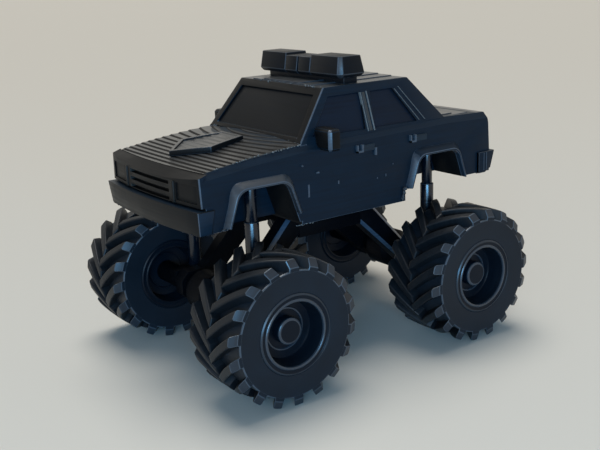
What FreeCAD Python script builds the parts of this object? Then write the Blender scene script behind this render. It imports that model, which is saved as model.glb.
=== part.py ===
import FreeCAD, Part
import os
import re
import Sketcher
from FreeCAD import Placement, Rotation, Vector

# A printed toy: a four-door saloon body raised on a monster-truck chassis, with four tall turning wheels.
# Millimetres. +X is forward, +Y is the truck's left, +Z is up. The origin is on the floor, at the middle of the
# truck's length and width. Every size is a cell of the sheet below, and sketches and features are bound to it.

SIZES = [
    # alias, value, what it is
    ("tyre_diameter", 39.6, "tyre, over its tread"),
    ("tyre_width", 20.5, "tyre, sidewall to sidewall"),
    ("tyre_shoulder", 1.4, "width of the sloped tread shoulder"),
    ("shoulder_drop", 3.4, "how far the shoulder falls at the sidewall"),
    ("wheel_base", 66.7, "front axle to rear axle"),
    ("wheel_track", 63.4, "middle of left tyre to middle of right tyre"),
    ("axle_shift", 0.8, "middle of the wheelbase, ahead of the origin"),
    ("rim_radius", 10.8, "rim flange, where the tyre's bead sits"),
    ("rim_mouth", 8.4, "mouth of the dish in each face of the rim"),
    ("dish_floor", 7.8, "floor of the dish"),
    ("dish_depth", 5.6, "depth of the dish"),
    ("pin_radius", 2.0, "axle pin that a wheel turns on"),
    ("pin_play", 0.06, "gap between pin and rim, all round"),
    ("side_play", 0.3, "gap at each end of a turning wheel"),
    ("cap_radius", 3.6, "hub cap"),
    ("cap_height", 2.9, "hub cap, out of the dish floor"),
    ("cap_edge", 0.4, "bevel round the hub cap"),
    ("head_radius", 2.7, "snap head on the axle pin"),
    ("head_length", 1.0, "thickness of the snap head"),
    ("axle_radius", 3.1, "axle tube"),
    ("housing_radius", 6.0, "differential housing in the middle of an axle"),
    ("housing_width", 7.0, "cylindrical part of the housing"),
    ("housing_cone", 3.0, "length of each cone beside it"),
    ("floor_height", 41.9, "sill, above the ground"),
    ("nose_floor", 44.8, "underside ahead of the front wheels"),
    ("tail_floor", 45.5, "underside behind the cabin"),
    ("nose_front", 50.9, "front face, at the middle of the truck"),
    ("face_top", 57.3, "height where the front face bends back"),
    ("hood_front", 48.4, "front edge of the hood"),
    ("hood_low", 59.9, "height of that edge"),
    ("nose_crown", 0.05, "how much higher the hood is there in its middle"),
    ("hood_middle", 33.0, "a section half way along the hood"),
    ("hood_mid_height", 61.7, "height of the hood's edges there"),
    ("middle_crown", 0.3, "how much higher it is there in its middle"),
    ("cowl_place", 17.7, "foot of the windscreen"),
    ("cowl_height", 63.0, "height of the hood's edges there"),
    ("cowl_crown", 1.0, "how much higher it is there in its middle"),
    ("hood_tuck", 2.0, "how far the hood runs back under the windscreen"),
    ("screen_foot", 62.9, "height at which the windscreen stands there"),
    ("boot_place", -35.1, "front edge of the boot lid"),
    ("boot_height", 64.0, "height there"),
    ("tail_edge", -51.9, "rear edge of the boot lid"),
    ("tail_height", 63.5, "height there"),
    ("tail_face", -52.6, "rear face"),
    ("tail_corner", 60.0, "height where the rear face begins"),
    ("body_half", 25.0, "half the body's width at the sill"),
    ("waist_height", 50.8, "height above which the sides lean in"),
    ("belt_height", 64.8, "height up to which they lean"),
    ("belt_half", 24.1, "half the body's width there"),
    ("shoulder_in", 1.3, "bevel along hood and boot, sideways"),
    ("shoulder_down", 1.8, "bevel along hood and boot, downwards"),
    ("nose_bow", 179.0, "radius of the front face, seen from above"),
    ("roof_front", 7.3, "front edge of the roof"),
    ("roof_rear", -23.0, "rear edge of the roof"),
    ("roof_height", 76.6, "roof's side edges, above the ground"),
    ("roof_crown", 0.7, "how much higher the roof is in its middle"),
    ("roof_half", 20.3, "half the roof's width"),
    ("cabin_foot", 60.9, "height of the cabin's foot, inside the body"),
    ("glass_base_half", 23.7, "half the cabin's width at its foot"),
    ("glass_depth", 0.7, "how far the windows are set in"),
    ("arch_place", 30.4, "middle of the front wheel arch, from mid-wheelbase"),
    ("rear_arch_place", 30.9, "middle of the rear wheel arch, from mid-wheelbase"),
    ("arch_top", 54.5, "top of a wheel arch"),
    ("arch_foot", 40.8, "height where the arch sides are measured"),
    ("arch_foot_half", 12.2, "half the arch's width there"),
    ("arch_top_half", 7.5, "half the arch's width at its top"),
    ("arch_corner", 3.7, "radius of the arch's top corners"),
    ("well_inner", 13.3, "inner wall of a wheel well, from the middle"),
    ("flare_width", 2.9, "width of the fender flare round the arch"),
    ("flare_out", 1.6, "how far the flare's lip stands out"),
    ("flare_lip", 0.5, "width of the flat lip"),
    ("flare_foot", 45.5, "foot of a fender flare"),
    ("bumper_half", 25.8, "half the width of a bumper"),
    ("bumper_low", 44.6, "front bumper's lower edge"),
    ("bumper_high", 51.0, "front bumper's upper edge"),
    ("bumper_corner", 50.8, "front bumper's corner"),
    ("bumper_front", 52.5, "front bumper at the middle of the truck"),
    ("bumper_wrap", 45.9, "where the front bumper's sides end"),
    ("bumper_draw", 6.8, "angle by which the front bumper draws in towards its foot, degrees"),
    ("valance_top", 51.6, "height below which the front face is set back behind the bumper"),
    ("valance_back", 1.2, "how far it is set back"),
    ("grille_half", 13.6, "half the grille's width"),
    ("grille_top", 57.15, "upper edge of the grille"),
    ("grille_deep", 1.5, "thickness of the grille, which is its pocket's depth"),
    ("slot_half", 11.0, "half the length of a grille slot"),
    ("slot_top", 56.9, "upper edge of the highest slot"),
    ("slot_tall", 1.0, "height of a slot"),
    ("slot_pitch", 2.1, "from one slot to the next"),
    ("post_wide", 0.8, "width of the post at each end of the grille"),
    ("post_proud", 0.35, "how far the posts stand out"),
    ("lamp_inner", 14.3, "inner edge of a lamp, from the middle of the truck"),
    ("lamp_outer", 23.3, "outer edge of a lamp"),
    ("lamp_foot", 52.4, "lower edge of a headlight"),
    ("lamp_top", 57.0, "upper edge of a headlight"),
    ("tail_lamp_foot", 54.0, "lower edge of a tail light"),
    ("tail_lamp_top", 59.4, "upper edge of a tail light"),
    ("lamp_pocket", 0.6, "depth of a lamp's pocket"),
    ("lamp_thick", 0.3, "thickness of a lamp's panel"),
    ("rear_bumper_low", 45.4, "rear bumper's lower edge"),
    ("rear_bumper_high", 51.9, "rear bumper's upper edge"),
    ("rear_bumper_tip", -53.9, "rear bumper's furthest point"),
    ("rear_bumper_toe", -52.3, "rear bumper's lower rear edge"),
    ("rear_bumper_wrap", -47.2, "where the rear bumper's sides end"),
    ("rear_bumper_rise", 1.2, "height of the bevel along its lower rear edge"),
    ("rear_bumper_run", 2.4, "depth of that bevel"),
    ("rail_outer", 13.6, "outer face of a chassis rail"),
    ("rail_inner", 8.6, "inner face of a chassis rail"),
    ("rail_low", 34.3, "underside of a chassis rail"),
    ("rail_half", 11.2, "half the rail's length"),
    ("plate_low", 36.8, "underside of the chassis plate"),
    ("shock_side", 16.4, "shock, from the middle of the truck"),
    ("front_shock_back", 4.6, "front shock, behind the axle"),
    ("rear_shock_back", 1.9, "rear shock, behind the axle"),
    ("shock_radius", 2.0, "shock body"),
    ("rod_radius", 1.6, "shock rod"),
    ("shock_break", 43.1, "height where rod and body meet"),
    ("perch_height", 23.2, "top of the shock's perch on the axle"),
    ("perch_thick", 3.0, "thickness of a perch"),
    ("bar_foot", 78.3, "underside of the light bar pods"),
    ("bar_wide", 79.3, "height where the pods are widest"),
    ("bar_top", 84.2, "top of the light bar"),
    ("bar_front", 1.05, "front of the pods"),
    ("bar_rear", -7.7, "rear of the pods"),
    ("bar_half", 19.9, "half the length of the light bar"),
    ("pod_inner", 6.1, "inner end of a side pod"),
    ("pod_bevel", 1.2, "bevelled front corners of the outer pods"),
    ("bar_split", 0.35, "half the gap between the middle pods"),
    ("middle_drop", 0.7, "how much lower the middle pods are"),
    ("pod_gap", 0.1, "gap between a side pod and a middle pod"),
    ("pod_draw", 9.0, "angle by which the pods draw in towards the top, degrees"),
    ("pod_undercut", 40.0, "angle by which they draw in towards the foot, degrees"),
    ("bar_inset", 2.8, "how far the light bar's base stays behind the pods' front"),
    ("bar_inset_end", 1.9, "how far it stays inside their ends"),
    ("bar_inset_rear", 1.2, "how far it stays ahead of their rear"),
    ("window_lead", 4.6, "from the cowl back to the front window's foot"),
    ("window_nose", 0.9, "from the roof's front edge back to that window's top"),
    ("front_window_end", -5.1, "rear edge of the front window"),
    ("rear_window_start", -8.6, "front edge of the rear window"),
    ("rear_window_foot", -24.3, "its rear lower corner"),
    ("rear_window_top", -16.7, "its rear upper corner"),
    ("window_foot", 64.2, "lower edge of the side windows"),
    ("window_top", 74.2, "upper edge of the windows"),
    ("pane_foot", 64.4, "lower edge of the windscreen"),
    ("pane_top", 74.7, "its upper edge"),
    ("pane_foot_half", 20.6, "half the windscreen's width at its foot"),
    ("pane_top_half", 17.8, "half the windscreen's width at its top"),
    ("scoop_nose", 44.0, "point of the hood scoop"),
    ("scoop_shoulder", 35.8, "its widest place"),
    ("scoop_half", 8.3, "half its width there"),
    ("scoop_tail", 23.6, "its rear end"),
    ("scoop_tail_half", 5.1, "half its width there"),
    ("scoop_nose_height", 62.1, "height of its top at the point"),
    ("scoop_shoulder_height", 63.2, "height of its top at the widest place"),
    ("scoop_tail_height", 64.2, "height of its top at the rear end"),
    ("scoop_dish", 0.6, "how far its top is sunken"),
    ("scoop_rim", 1.1, "width of the rim round the sunken top"),
    ("scoop_nose_rim", 1.4, "width of that rim at the point"),
    ("scoop_shoulder_rim", 0.4, "how far its inner corner at the widest place is behind the outer one"),
    ("scoop_tail_rim", 0.9, "how far its inner corner at the rear end is inside the outer one"),
    ("mirror_place", 8.9, "rear face of a door mirror"),
    ("mirror_depth", 3.5, "front to back"),
    ("mirror_reach", 29.4, "its outer side"),
    ("mirror_foot", 61.0, "its underside"),
    ("mirror_tall", 5.8, "its height"),
    ("mirror_bevel", 0.8, "bevel of its outer front edge"),
    ("mirror_corner", 0.6, "bevel along its upper and lower front edges"),
    ("handle_front", -0.1, "front end of the front door's handle"),
    ("rear_handle_front", -19.6, "front end of the rear door's handle"),
    ("handle_height", 58.2, "underside of the front handle"),
    ("rear_handle_height", 58.6, "underside of the rear handle"),
    ("handle_long", 6.8, "length of a handle"),
    ("handle_tall", 2.2, "height of a handle"),
    ("handle_out", 0.2, "how far it stands out past the sill"),
    ("arm_root", 2.4, "how far the arm's upper edge starts past the rail's end"),
    ("arm_bevel", 1.1, "bevel along an arm's outer edges"),
    ("arm_eye", 4.4, "half the block at an arm's end, which the axle runs through"),
    ("root_overlap", 2.0, "how far a hidden root or a cutting outline runs past the surface that it meets"),
    ("nose_zone", 6.0, "how far behind the hood's front edge the pieces of the front face are cut from"),
]

doc = FreeCAD.newDocument("monster_truck")
sheet = doc.addObject("Spreadsheet::Sheet", "Sizes")
for row, (alias, value, meaning) in enumerate(SIZES, start=1):
    sheet.set(f"A{row}", str(value))
    sheet.setAlias(f"A{row}", alias)
    sheet.set(f"B{row}", meaning)
doc.recompute()

pieces = []


def bound(text):
    """An expression in which every alias names its cell of the sheet."""
    return re.sub(r"\b[a-z]+(?:_[a-z]+)+\b", r"Sizes.\g<0>", text)


def size(text):
    """The present value of such an expression."""
    return float(sheet.evalExpression(bound(text)))


def bind(thing, **expressions):
    """Binds properties to the sheet. A double underscore in a name stands for a dot."""
    for name, text in expressions.items():
        thing.setExpression(name.replace("__", "."), bound(text))
    return thing


def keep(thing, label):
    """Marks a finished sub-part, whose Label names its file."""
    thing.Label = label
    pieces.append(thing)
    return thing


def new_body(name):
    return doc.addObject("PartDesign::Body", name)


def sketch(body, plane, corners, offset=None):
    """A closed outline on one of the body's own planes. A corner is (across, up), and (across, up, across, up)
    is a corner whose side to the next corner is an arc through the second point."""
    drawing = body.newObject("Sketcher::SketchObject", f"{body.Name}_outline")
    origin_plane = next(o for o in body.Origin.OriginFeatures if o.Role == plane)
    drawing.AttachmentSupport = (origin_plane, [""])
    drawing.MapMode = "FlatFace"
    if offset:
        bind(drawing, AttachmentOffset__Base__z=offset)
    spots = [Vector(size(c[0]), size(c[1]), 0) for c in corners]
    for place, corner in enumerate(corners):
        here, after = spots[place], spots[(place + 1) % len(spots)]
        if len(corner) == 2:
            drawing.addGeometry(Part.LineSegment(here, after), False)
        else:
            through = Vector(size(corner[2]), size(corner[3]), 0)
            drawing.addGeometry(Part.Arc(here, through, after), False)
    ends = []
    for place, corner in enumerate(corners):
        # An arc is stored anticlockwise, so its first point is whichever end that makes it.
        edge = drawing.Geometry[place]
        forward = len(corner) == 2 or edge.StartPoint.distanceToPoint(spots[place]) < 1e-6
        ends.append((1, 2) if forward else (2, 1))
    for place, corner in enumerate(corners):
        after = (place + 1) % len(corners)
        drawing.addConstraint(Sketcher.Constraint("Coincident", place, ends[place][1], after, ends[after][0]))
        for kind, value, text in zip(("DistanceX", "DistanceY"), spots[place], corner):
            index = drawing.addConstraint(Sketcher.Constraint(kind, -1, 1, place, ends[place][0], value))
            drawing.setExpression(f"Constraints[{index}]", bound(text))
        if len(corner) == 4:
            spot = drawing.addGeometry(Part.Point(Vector(size(corner[2]), size(corner[3]), 0)), True)
            for kind, text in zip(("DistanceX", "DistanceY"), corner[2:]):
                index = drawing.addConstraint(Sketcher.Constraint(kind, -1, 1, spot, 1, size(text)))
                drawing.setExpression(f"Constraints[{index}]", bound(text))
            drawing.addConstraint(Sketcher.Constraint("PointOnObject", spot, 1, place))
    return drawing


def rectangle(low_x, high_x, low_y, high_y):
    """Corners of a rectangle, for a sketch."""
    return [(low_x, low_y), (high_x, low_y), (high_x, high_y), (low_x, high_y)]


def pad(body, drawing, length, side="One side", reversed_way=False, taper=None):
    feature = body.newObject("PartDesign::Pad", f"{body.Name}_pad")
    feature.Profile = drawing
    feature.SideType = side
    feature.Reversed = reversed_way
    if taper:
        bind(feature, TaperAngle=taper)
    bind(feature, Length=length)
    return feature


def pocket(body, drawing, length=None, side="One side", reversed_way=False):
    """Cuts the outline away, to a length or right through both ways, and makes sure that it cut something."""
    doc.recompute()
    before = body.Shape.Volume
    feature = body.newObject("PartDesign::Pocket", f"{body.Name}_pocket")
    feature.Profile = drawing
    feature.SideType = side
    feature.Reversed = reversed_way
    if length:
        bind(feature, Length=length)
    else:
        feature.Type = "ThroughAll"
        feature.SideType = "Symmetric"
    doc.recompute()
    if body.Shape.Volume > before - 1e-3:
        raise ValueError(f"{feature.Name} cuts nothing")
    return feature


def revolve(body, drawing):
    """Turns the outline about the sketch's first axis."""
    feature = body.newObject("PartDesign::Revolution", f"{body.Name}_turn")
    feature.Profile = drawing
    feature.ReferenceAxis = (drawing, ["H_Axis"])
    feature.Angle = 360
    return feature


def mirrored(body, features, plane):
    feature = body.newObject("PartDesign::Mirrored", f"{body.Name}_mirror")
    feature.Originals = features
    feature.MirrorPlane = (next(o for o in body.Origin.OriginFeatures if o.Role == plane), [""])
    body.Tip = feature
    return feature


def cut(name, base, tool):
    feature = doc.addObject("Part::Cut", name)
    feature.Base = base
    feature.Tool = tool
    return feature


def common(name, first, second):
    feature = doc.addObject("Part::Common", name)
    feature.Base = first
    feature.Tool = second
    return feature


def fuse(name, things):
    feature = doc.addObject("Part::MultiFuse", name)
    feature.Shapes = things
    feature.Refine = True
    return feature


def prism(name, plane, corners, length, side="Symmetric", offset=None, reversed_way=False, taper=None):
    """A body that is one padded outline."""
    body = new_body(name)
    pad(body, sketch(body, plane, corners, offset), length, side, reversed_way, taper)
    return body


# ---------------------------------------------------------------- body shell
# One closed moulding: sides that lean in above the waist, a hood that falls to the front in one long curve, a
# bowed front face, bevelled shoulders, and four wheel wells beside a solid middle.

SIDE_OUTLINE = [
    ("nose_front", "nose_floor"),
    ("nose_front", "face_top"),
    ("hood_front", "hood_low"),
    ("hood_front", "face_top"),
    ("cowl_place - hood_tuck", "face_top"),
    ("cowl_place - hood_tuck", "cowl_height"),
    ("boot_place", "boot_height"),
    ("tail_edge", "tail_height"),
    ("tail_face", "tail_corner"),
    ("tail_face", "tail_floor"),
    ("axle_shift - rear_arch_place + arch_foot_half", "tail_floor"),
    ("axle_shift - rear_arch_place + arch_foot_half", "floor_height"),
    ("axle_shift + arch_place - arch_foot_half", "floor_height"),
    ("axle_shift + arch_place - arch_foot_half", "nose_floor - root_overlap"),
    ("axle_shift + arch_place + arch_top_half", "nose_floor - root_overlap"),
    ("axle_shift + arch_place + arch_top_half", "nose_floor"),
]
SLOTS = 3  # level slots in the grille
ARCHES = [
    # name, place of the arch's middle
    ("front", "(axle_shift + arch_place)"),
    ("rear", "(axle_shift - rear_arch_place)"),
]


def arch_outline(middle, wider="0", higher="0", foot="arch_foot"):
    """A wheel arch: sides that lean together up to a flat top."""
    lean = "((arch_foot_half - arch_top_half) / (arch_top - arch_foot))"
    at_foot = f"arch_foot_half + {wider} - ({foot} - arch_foot) * {lean}"
    at_top = f"arch_top_half + {wider} - ({higher}) * {lean}"
    return [
        (f"{middle} - ({at_foot})", foot),
        (f"{middle} + ({at_foot})", foot),
        (f"{middle} + ({at_top})", f"arch_top + {higher}"),
        (f"{middle} - ({at_top})", f"arch_top + {higher}"),
    ]


def edges_where(shape, test):
    """Names of the edges whose middle point passes the test."""
    names = []
    for number, edge in enumerate(shape.Edges, start=1):
        middle = edge.valueAt((edge.FirstParameter + edge.LastParameter) / 2)
        ends = [vertex.Point for vertex in edge.Vertexes]
        if test(middle, ends):
            names.append(f"Edge{number}")
    return names


def round_edges(body, radius, test):
    doc.recompute()
    base = body.Tip
    feature = body.newObject("PartDesign::Fillet", f"{body.Name}_round")
    feature.Base = (base, edges_where(base.Shape, test))
    bind(feature, Radius=radius)
    return feature


def bevel_edges(body, depth, test):
    doc.recompute()
    base = body.Tip
    feature = body.newObject("PartDesign::Chamfer", f"{body.Name}_bevel")
    feature.Base = (base, edges_where(base.Shape, test))
    bind(feature, Size=depth)
    return feature


shell = new_body("shell_block")
pad(shell, sketch(shell, "XZ_Plane", SIDE_OUTLINE), "2 * body_half", "Symmetric")
lean_in = [
    ("body_half", "waist_height"),
    ("belt_half", "belt_height"),
    ("body_half + root_overlap", "belt_height"),
    ("body_half + root_overlap", "waist_height"),
]
side_cut = pocket(shell, sketch(shell, "YZ_Plane", lean_in))
mirrored(shell, [side_cut], "XZ_Plane")
doc.recompute()
along_top = edges_where(
    shell.Shape,
    lambda m, e: len(e) == 2 and abs(e[0].x - e[1].x) > 5 and min(p.z for p in e) > size("hood_low") - 0.1
    and abs(abs(m.y) - size("belt_half")) < 1,
)
unbevelled = shell.Tip
bevel = shell.newObject("PartDesign::Chamfer", "shell_shoulders")
bevel.Base = (unbevelled, along_top)
bevel.ChamferType = "Two distances"
bind(bevel, Size="shoulder_down", Size2="shoulder_in")

# The hood is lofted through three sections across the truck, each with its bevelled shoulders: almost flat behind the
# front edge and arched from side to side under the windscreen.
def half_at(height):
    """Half the body's width at a height above the waist."""
    lean = "(body_half - belt_half) / (belt_height - waist_height)"
    return f"(body_half - ({height} - waist_height) * {lean})"


hood = new_body("hood")
hood_sections = []
for place, edge, rise in (
    ("hood_front", "hood_low", "nose_crown"),
    ("hood_middle", "hood_mid_height", "middle_crown"),
    ("cowl_place - hood_tuck", "cowl_height", "cowl_crown"),
):
    shoulder = half_at(f"({edge} - shoulder_down)")
    hood_sections.append(sketch(hood, "YZ_Plane", [
        (f"-{half_at('face_top')}", "face_top"),
        (half_at("face_top"), "face_top"),
        (shoulder, f"{edge} - shoulder_down"),
        (f"{shoulder} - shoulder_in", edge, "0", f"{edge} + {rise}"),
        (f"shoulder_in - {shoulder}", edge),
        (f"-{shoulder}", f"{edge} - shoulder_down"),
    ], place))
lofted = hood.newObject("PartDesign::AdditiveLoft", "hood_loft")
lofted.Profile = hood_sections[0]
lofted.Sections = hood_sections[1:]
crowned_shell = fuse("crowned_shell", [shell, hood])


arches = []
for end, middle in ARCHES:
    for side in (1, -1):
        well = new_body(f"well_{end}_{'left' if side > 0 else 'right'}")
        outline = arch_outline(middle, foot="floor_height - 3 * root_overlap")
        pad(well, sketch(well, "XZ_Plane", outline, f"{-side} * well_inner"), "body_half", "One side", side > 0)
        round_edges(well, "arch_corner", lambda m, e: abs(m.z - size("arch_top")) < 0.1 and len(e) == 2
                    and abs(e[0].y - e[1].y) > 5)
        arches.append(well)
wells = fuse("wells", arches)


def bow_round(name, deeper):
    """The round block that bows the front face, or a slightly smaller or larger one."""
    block = doc.addObject("Part::Cylinder", name)
    bind(block, Radius=f"nose_bow - ({deeper})", Height="roof_height", Placement__Base__x="nose_front - nose_bow")
    return block


def behind_bow(name, plane_corners, deep):
    """A pocket tool: the outline, seen from the front, from a given depth behind the bowed face outwards."""
    outline = prism(f"{name}_outline", "YZ_Plane", plane_corners, "nose_front", "One side", "hood_front - nose_zone")
    return cut(f"{name}_tool", outline, bow_round(f"{name}_floor", deep))


VALANCE = rectangle("-body_half - root_overlap", "body_half + root_overlap", "floor_height", "valance_top")
valance = behind_bow("valance", VALANCE, "valance_back")
GRILLE = rectangle("-grille_half", "grille_half", "valance_top", "grille_top")
grille_pocket = behind_bow("grille_pocket", GRILLE, "grille_deep")
HEADLIGHTS = [
    # hand, outline from the front
    ("left", rectangle("lamp_inner", "lamp_outer", "lamp_foot", "lamp_top")),
    ("right", rectangle("-lamp_outer", "-lamp_inner", "lamp_foot", "lamp_top")),
]
lamp_pockets = [behind_bow(f"lamp_pocket_{hand}", outline, "lamp_pocket") for hand, outline in HEADLIGHTS]
TAIL_LIGHTS = [
    ("left", rectangle("lamp_inner", "lamp_outer", "tail_lamp_foot", "tail_lamp_top")),
    ("right", rectangle("-lamp_outer", "-lamp_inner", "tail_lamp_foot", "tail_lamp_top")),
]
for hand, outline in TAIL_LIGHTS:
    lamp_pockets.append(prism(f"tail_pocket_{hand}", "YZ_Plane", outline, "root_overlap", "One side",
                              "tail_face + lamp_pocket", True))
recesses = fuse("recesses", [valance, grille_pocket] + lamp_pockets)
bowed = common("bowed_shell", crowned_shell, bow_round("nose_round", "0"))
keep(cut("body_shell", cut("arched_shell", bowed, wells), recesses), "body_shell")
doc.recompute()

body_shell = pieces[-1]

# ---------------------------------------------------------------- grille and lamps
# The grille is a bowed plate that fills its pocket, cut right through by level slots, with a post at each end.
# Each lamp is a thin panel on the floor of its own shallow pocket.

plate = common("grille_plate", prism("grille_outline", "YZ_Plane", GRILLE, "nose_front", "One side",
                                     "hood_front - nose_zone"), bow_round("grille_face", "0"))
behind = bow_round("grille_back", "grille_deep")
slots = [
    prism(f"slot_{row}", "YZ_Plane",
          rectangle("-slot_half", "slot_half", f"slot_top - slot_tall - {row} * slot_pitch",
                    f"slot_top - {row} * slot_pitch"), "nose_front", "One side", "hood_front - nose_zone")
    for row in range(SLOTS)
]
posts = [
    common(f"post_{hand}", prism(f"post_{hand}_outline", "YZ_Plane", outline, "nose_front", "One side",
                                 "hood_front - nose_zone"), bow_round(f"post_{hand}_face", "-post_proud"))
    for hand, outline in (
        ("left", rectangle("grille_half - post_wide", "grille_half", "valance_top", "grille_top")),
        ("right", rectangle("-grille_half", "post_wide - grille_half", "valance_top", "grille_top")),
    )
]
slotted = cut("slotted_plate", plate, fuse("grille_slots", slots))
keep(cut("grille", fuse("posted_plate", [slotted] + posts), behind), "grille")
for hand, outline in HEADLIGHTS:
    panel = common(f"headlight_{hand}_panel", prism(f"headlight_{hand}_outline", "YZ_Plane", outline, "nose_front",
                                                    "One side", "hood_front - nose_zone"),
                   bow_round(f"headlight_{hand}_face", "lamp_pocket - lamp_thick"))
    keep(cut(f"headlight_{hand}", panel, bow_round(f"headlight_{hand}_back", "lamp_pocket")), f"headlight_{hand}")
for hand, outline in TAIL_LIGHTS:
    keep(prism(f"tail_light_{hand}", "YZ_Plane", outline, "lamp_thick", "One side", "tail_face + lamp_pocket", True),
         f"tail_light_{hand}")

# ---------------------------------------------------------------- fender flares
# A flare is a band round the arch that rises from the body's side to a narrow lip.

for end, middle in ARCHES:
    flare = new_body(f"flare_{end}")
    root = sketch(flare, "XZ_Plane", arch_outline(middle, "flare_width", "flare_width", "flare_foot"),
                  "belt_half - root_overlap / 4")
    lip = sketch(flare, "XZ_Plane", arch_outline(middle, "flare_lip", "flare_lip", "flare_foot"),
                 "body_half + flare_out")
    band = flare.newObject("PartDesign::AdditiveLoft", f"{flare.Name}_band")
    band.Profile = root
    band.Sections = [lip]
    band.Ruled = True
    round_edges(flare, "arch_corner + 1", lambda m, e: m.z > size("arch_top") - 0.1 and len(e) == 2
                and abs(e[0].y - e[1].y) > 1.5)
    doc.recompute()
    opened = cut(f"flare_{end}_open", flare, wells)
    right = keep(cut(f"flare_{end}_right", opened, body_shell), f"fender_flare_{end}_right")
    left = doc.addObject("Part::Mirroring", f"flare_{end}_left")
    left.Source = right
    left.Normal = Vector(0, 1, 0)
    keep(left, f"fender_flare_{end}_left")

# ---------------------------------------------------------------- cabin and windows
# The cabin is a frame round one block of glazing, which shows as a panel set a little into every opening.

SCREEN_RUN = "((cowl_place - roof_front) / (roof_height - screen_foot))"
REAR_RUN = "((roof_rear - boot_place) / (roof_height - boot_height))"
SIDE_RUN = "((glass_base_half - roof_half) / (roof_height - cabin_foot))"


def roof_round(name, depth):
    """The round bar, lying along the truck, whose top is the crowned roof or a surface set in from it."""
    bar = doc.addObject("Part::Cylinder", name)
    bar.Placement = Placement(Vector(), Rotation(Vector(0, 1, 0), 90))
    radius = "((roof_half ^ 2 + roof_crown ^ 2) / (2 * roof_crown))"
    bind(bar, Radius=f"{radius} - {depth}", Height="2 * wheel_base", Placement__Base__x="-wheel_base",
         Placement__Base__z=f"roof_height + roof_crown - {radius}")
    return bar


def cabin_outline(depth):
    """The cabin from the side, up to its crown, with its front and rear glass set in by depth."""
    return [
        (f"cowl_place + {SCREEN_RUN} * (screen_foot - cabin_foot) - {depth}", "cabin_foot"),
        (f"roof_front - {SCREEN_RUN} * roof_crown - {depth}", "roof_height + roof_crown"),
        (f"roof_rear + {REAR_RUN} * roof_crown + {depth}", "roof_height + roof_crown"),
        (f"boot_place - {REAR_RUN} * (boot_height - cabin_foot) + {depth}", "cabin_foot"),
    ]


def cabin_block(name, depth):
    """The cabin as a solid whose sides lean in under a crowned roof, smaller by depth all round."""
    block = new_body(name)
    pad(block, sketch(block, "XZ_Plane", cabin_outline(depth)), "2 * body_half", "Symmetric")
    doc.recompute()
    lean = [
        (f"glass_base_half - {depth}", "cabin_foot"),
        (f"roof_half - {SIDE_RUN} * roof_crown - {depth}", "roof_height + roof_crown"),
        ("body_half + root_overlap", "roof_height + roof_crown"),
        ("body_half + root_overlap", "cabin_foot"),
    ]
    mirrored(block, [pocket(block, sketch(block, "YZ_Plane", lean))], "XZ_Plane")
    return common(f"crowned_{name}", block, roof_round(f"{name}_roof", depth))


outer_cabin = cabin_block("cabin_block", "0")
windows = cabin_block("window_block", "glass_depth")
SIDE_WINDOWS = [
    # name, foot front and rear, top front and rear
    ("front_door", "cowl_place - window_lead", "front_window_end", "roof_front - window_nose", "front_window_end"),
    ("rear_door", "rear_window_start", "rear_window_foot", "rear_window_start", "rear_window_top"),
]
openings = []
for name, foot_front, foot_rear, top_front, top_rear in SIDE_WINDOWS:
    corners = [(foot_front, "window_foot"), (foot_rear, "window_foot"), (top_rear, "window_top"),
               (top_front, "window_top")]
    openings.append(prism(f"{name}_opening", "XZ_Plane", corners, "2 * (body_half + root_overlap)"))
pane = [("-pane_foot_half", "pane_foot"), ("pane_foot_half", "pane_foot"), ("pane_top_half", "pane_top"),
        ("-pane_top_half", "pane_top")]
openings.append(prism("screen_opening", "YZ_Plane", pane, "2 * wheel_base"))
glazed = cut("glazed_cabin", outer_cabin, fuse("window_openings", openings))
framed = cut("framed_cabin", glazed, windows)
keep(cut("cabin", framed, body_shell), "cabin")
keep(cut("windows", windows, body_shell), "windows")

# ---------------------------------------------------------------- hood scoop
# A low shield on the hood that points forward, with a rim round a slightly sunken top.

def shield(nose, shoulder, shoulder_half, tail, tail_half):
    """A shield-shaped plan that points forward."""
    return [(nose, "0"), (shoulder, shoulder_half), (tail, tail_half), (tail, f"-({tail_half})"),
            (shoulder, f"-({shoulder_half})")]


def scoop_side(lower):
    """The scoop from the side, from inside the hood up to its curved top or to a line lower than that."""
    return [
        ("scoop_nose", "arch_top"),
        ("scoop_nose", f"scoop_nose_height - {lower}", "scoop_shoulder", f"scoop_shoulder_height - {lower}"),
        ("scoop_tail", f"scoop_tail_height - {lower}"),
        ("scoop_tail", "arch_top"),
    ]


scoop_plan = shield("scoop_nose", "scoop_shoulder", "scoop_half", "scoop_tail", "scoop_tail_half")
dish_plan = shield("scoop_nose - scoop_nose_rim", "scoop_shoulder - scoop_shoulder_rim", "scoop_half - scoop_rim",
                   "scoop_tail + scoop_rim", "scoop_tail_half - scoop_tail_rim")
scoop_block = common("scoop_block", prism("scoop_outline", "XY_Plane", scoop_plan, "roof_height", "One side"),
                     prism("scoop_top", "XZ_Plane", scoop_side("0"), "2 * scoop_half + root_overlap"))
dish = cut("scoop_dish_tool", prism("dish_outline", "XY_Plane", dish_plan, "roof_height", "One side"),
           prism("dish_floor_block", "XZ_Plane", scoop_side("scoop_dish"), "2 * scoop_half + root_overlap"))
keep(cut("hood_scoop", cut("dished_scoop", scoop_block, dish), body_shell), "hood_scoop")

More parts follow.
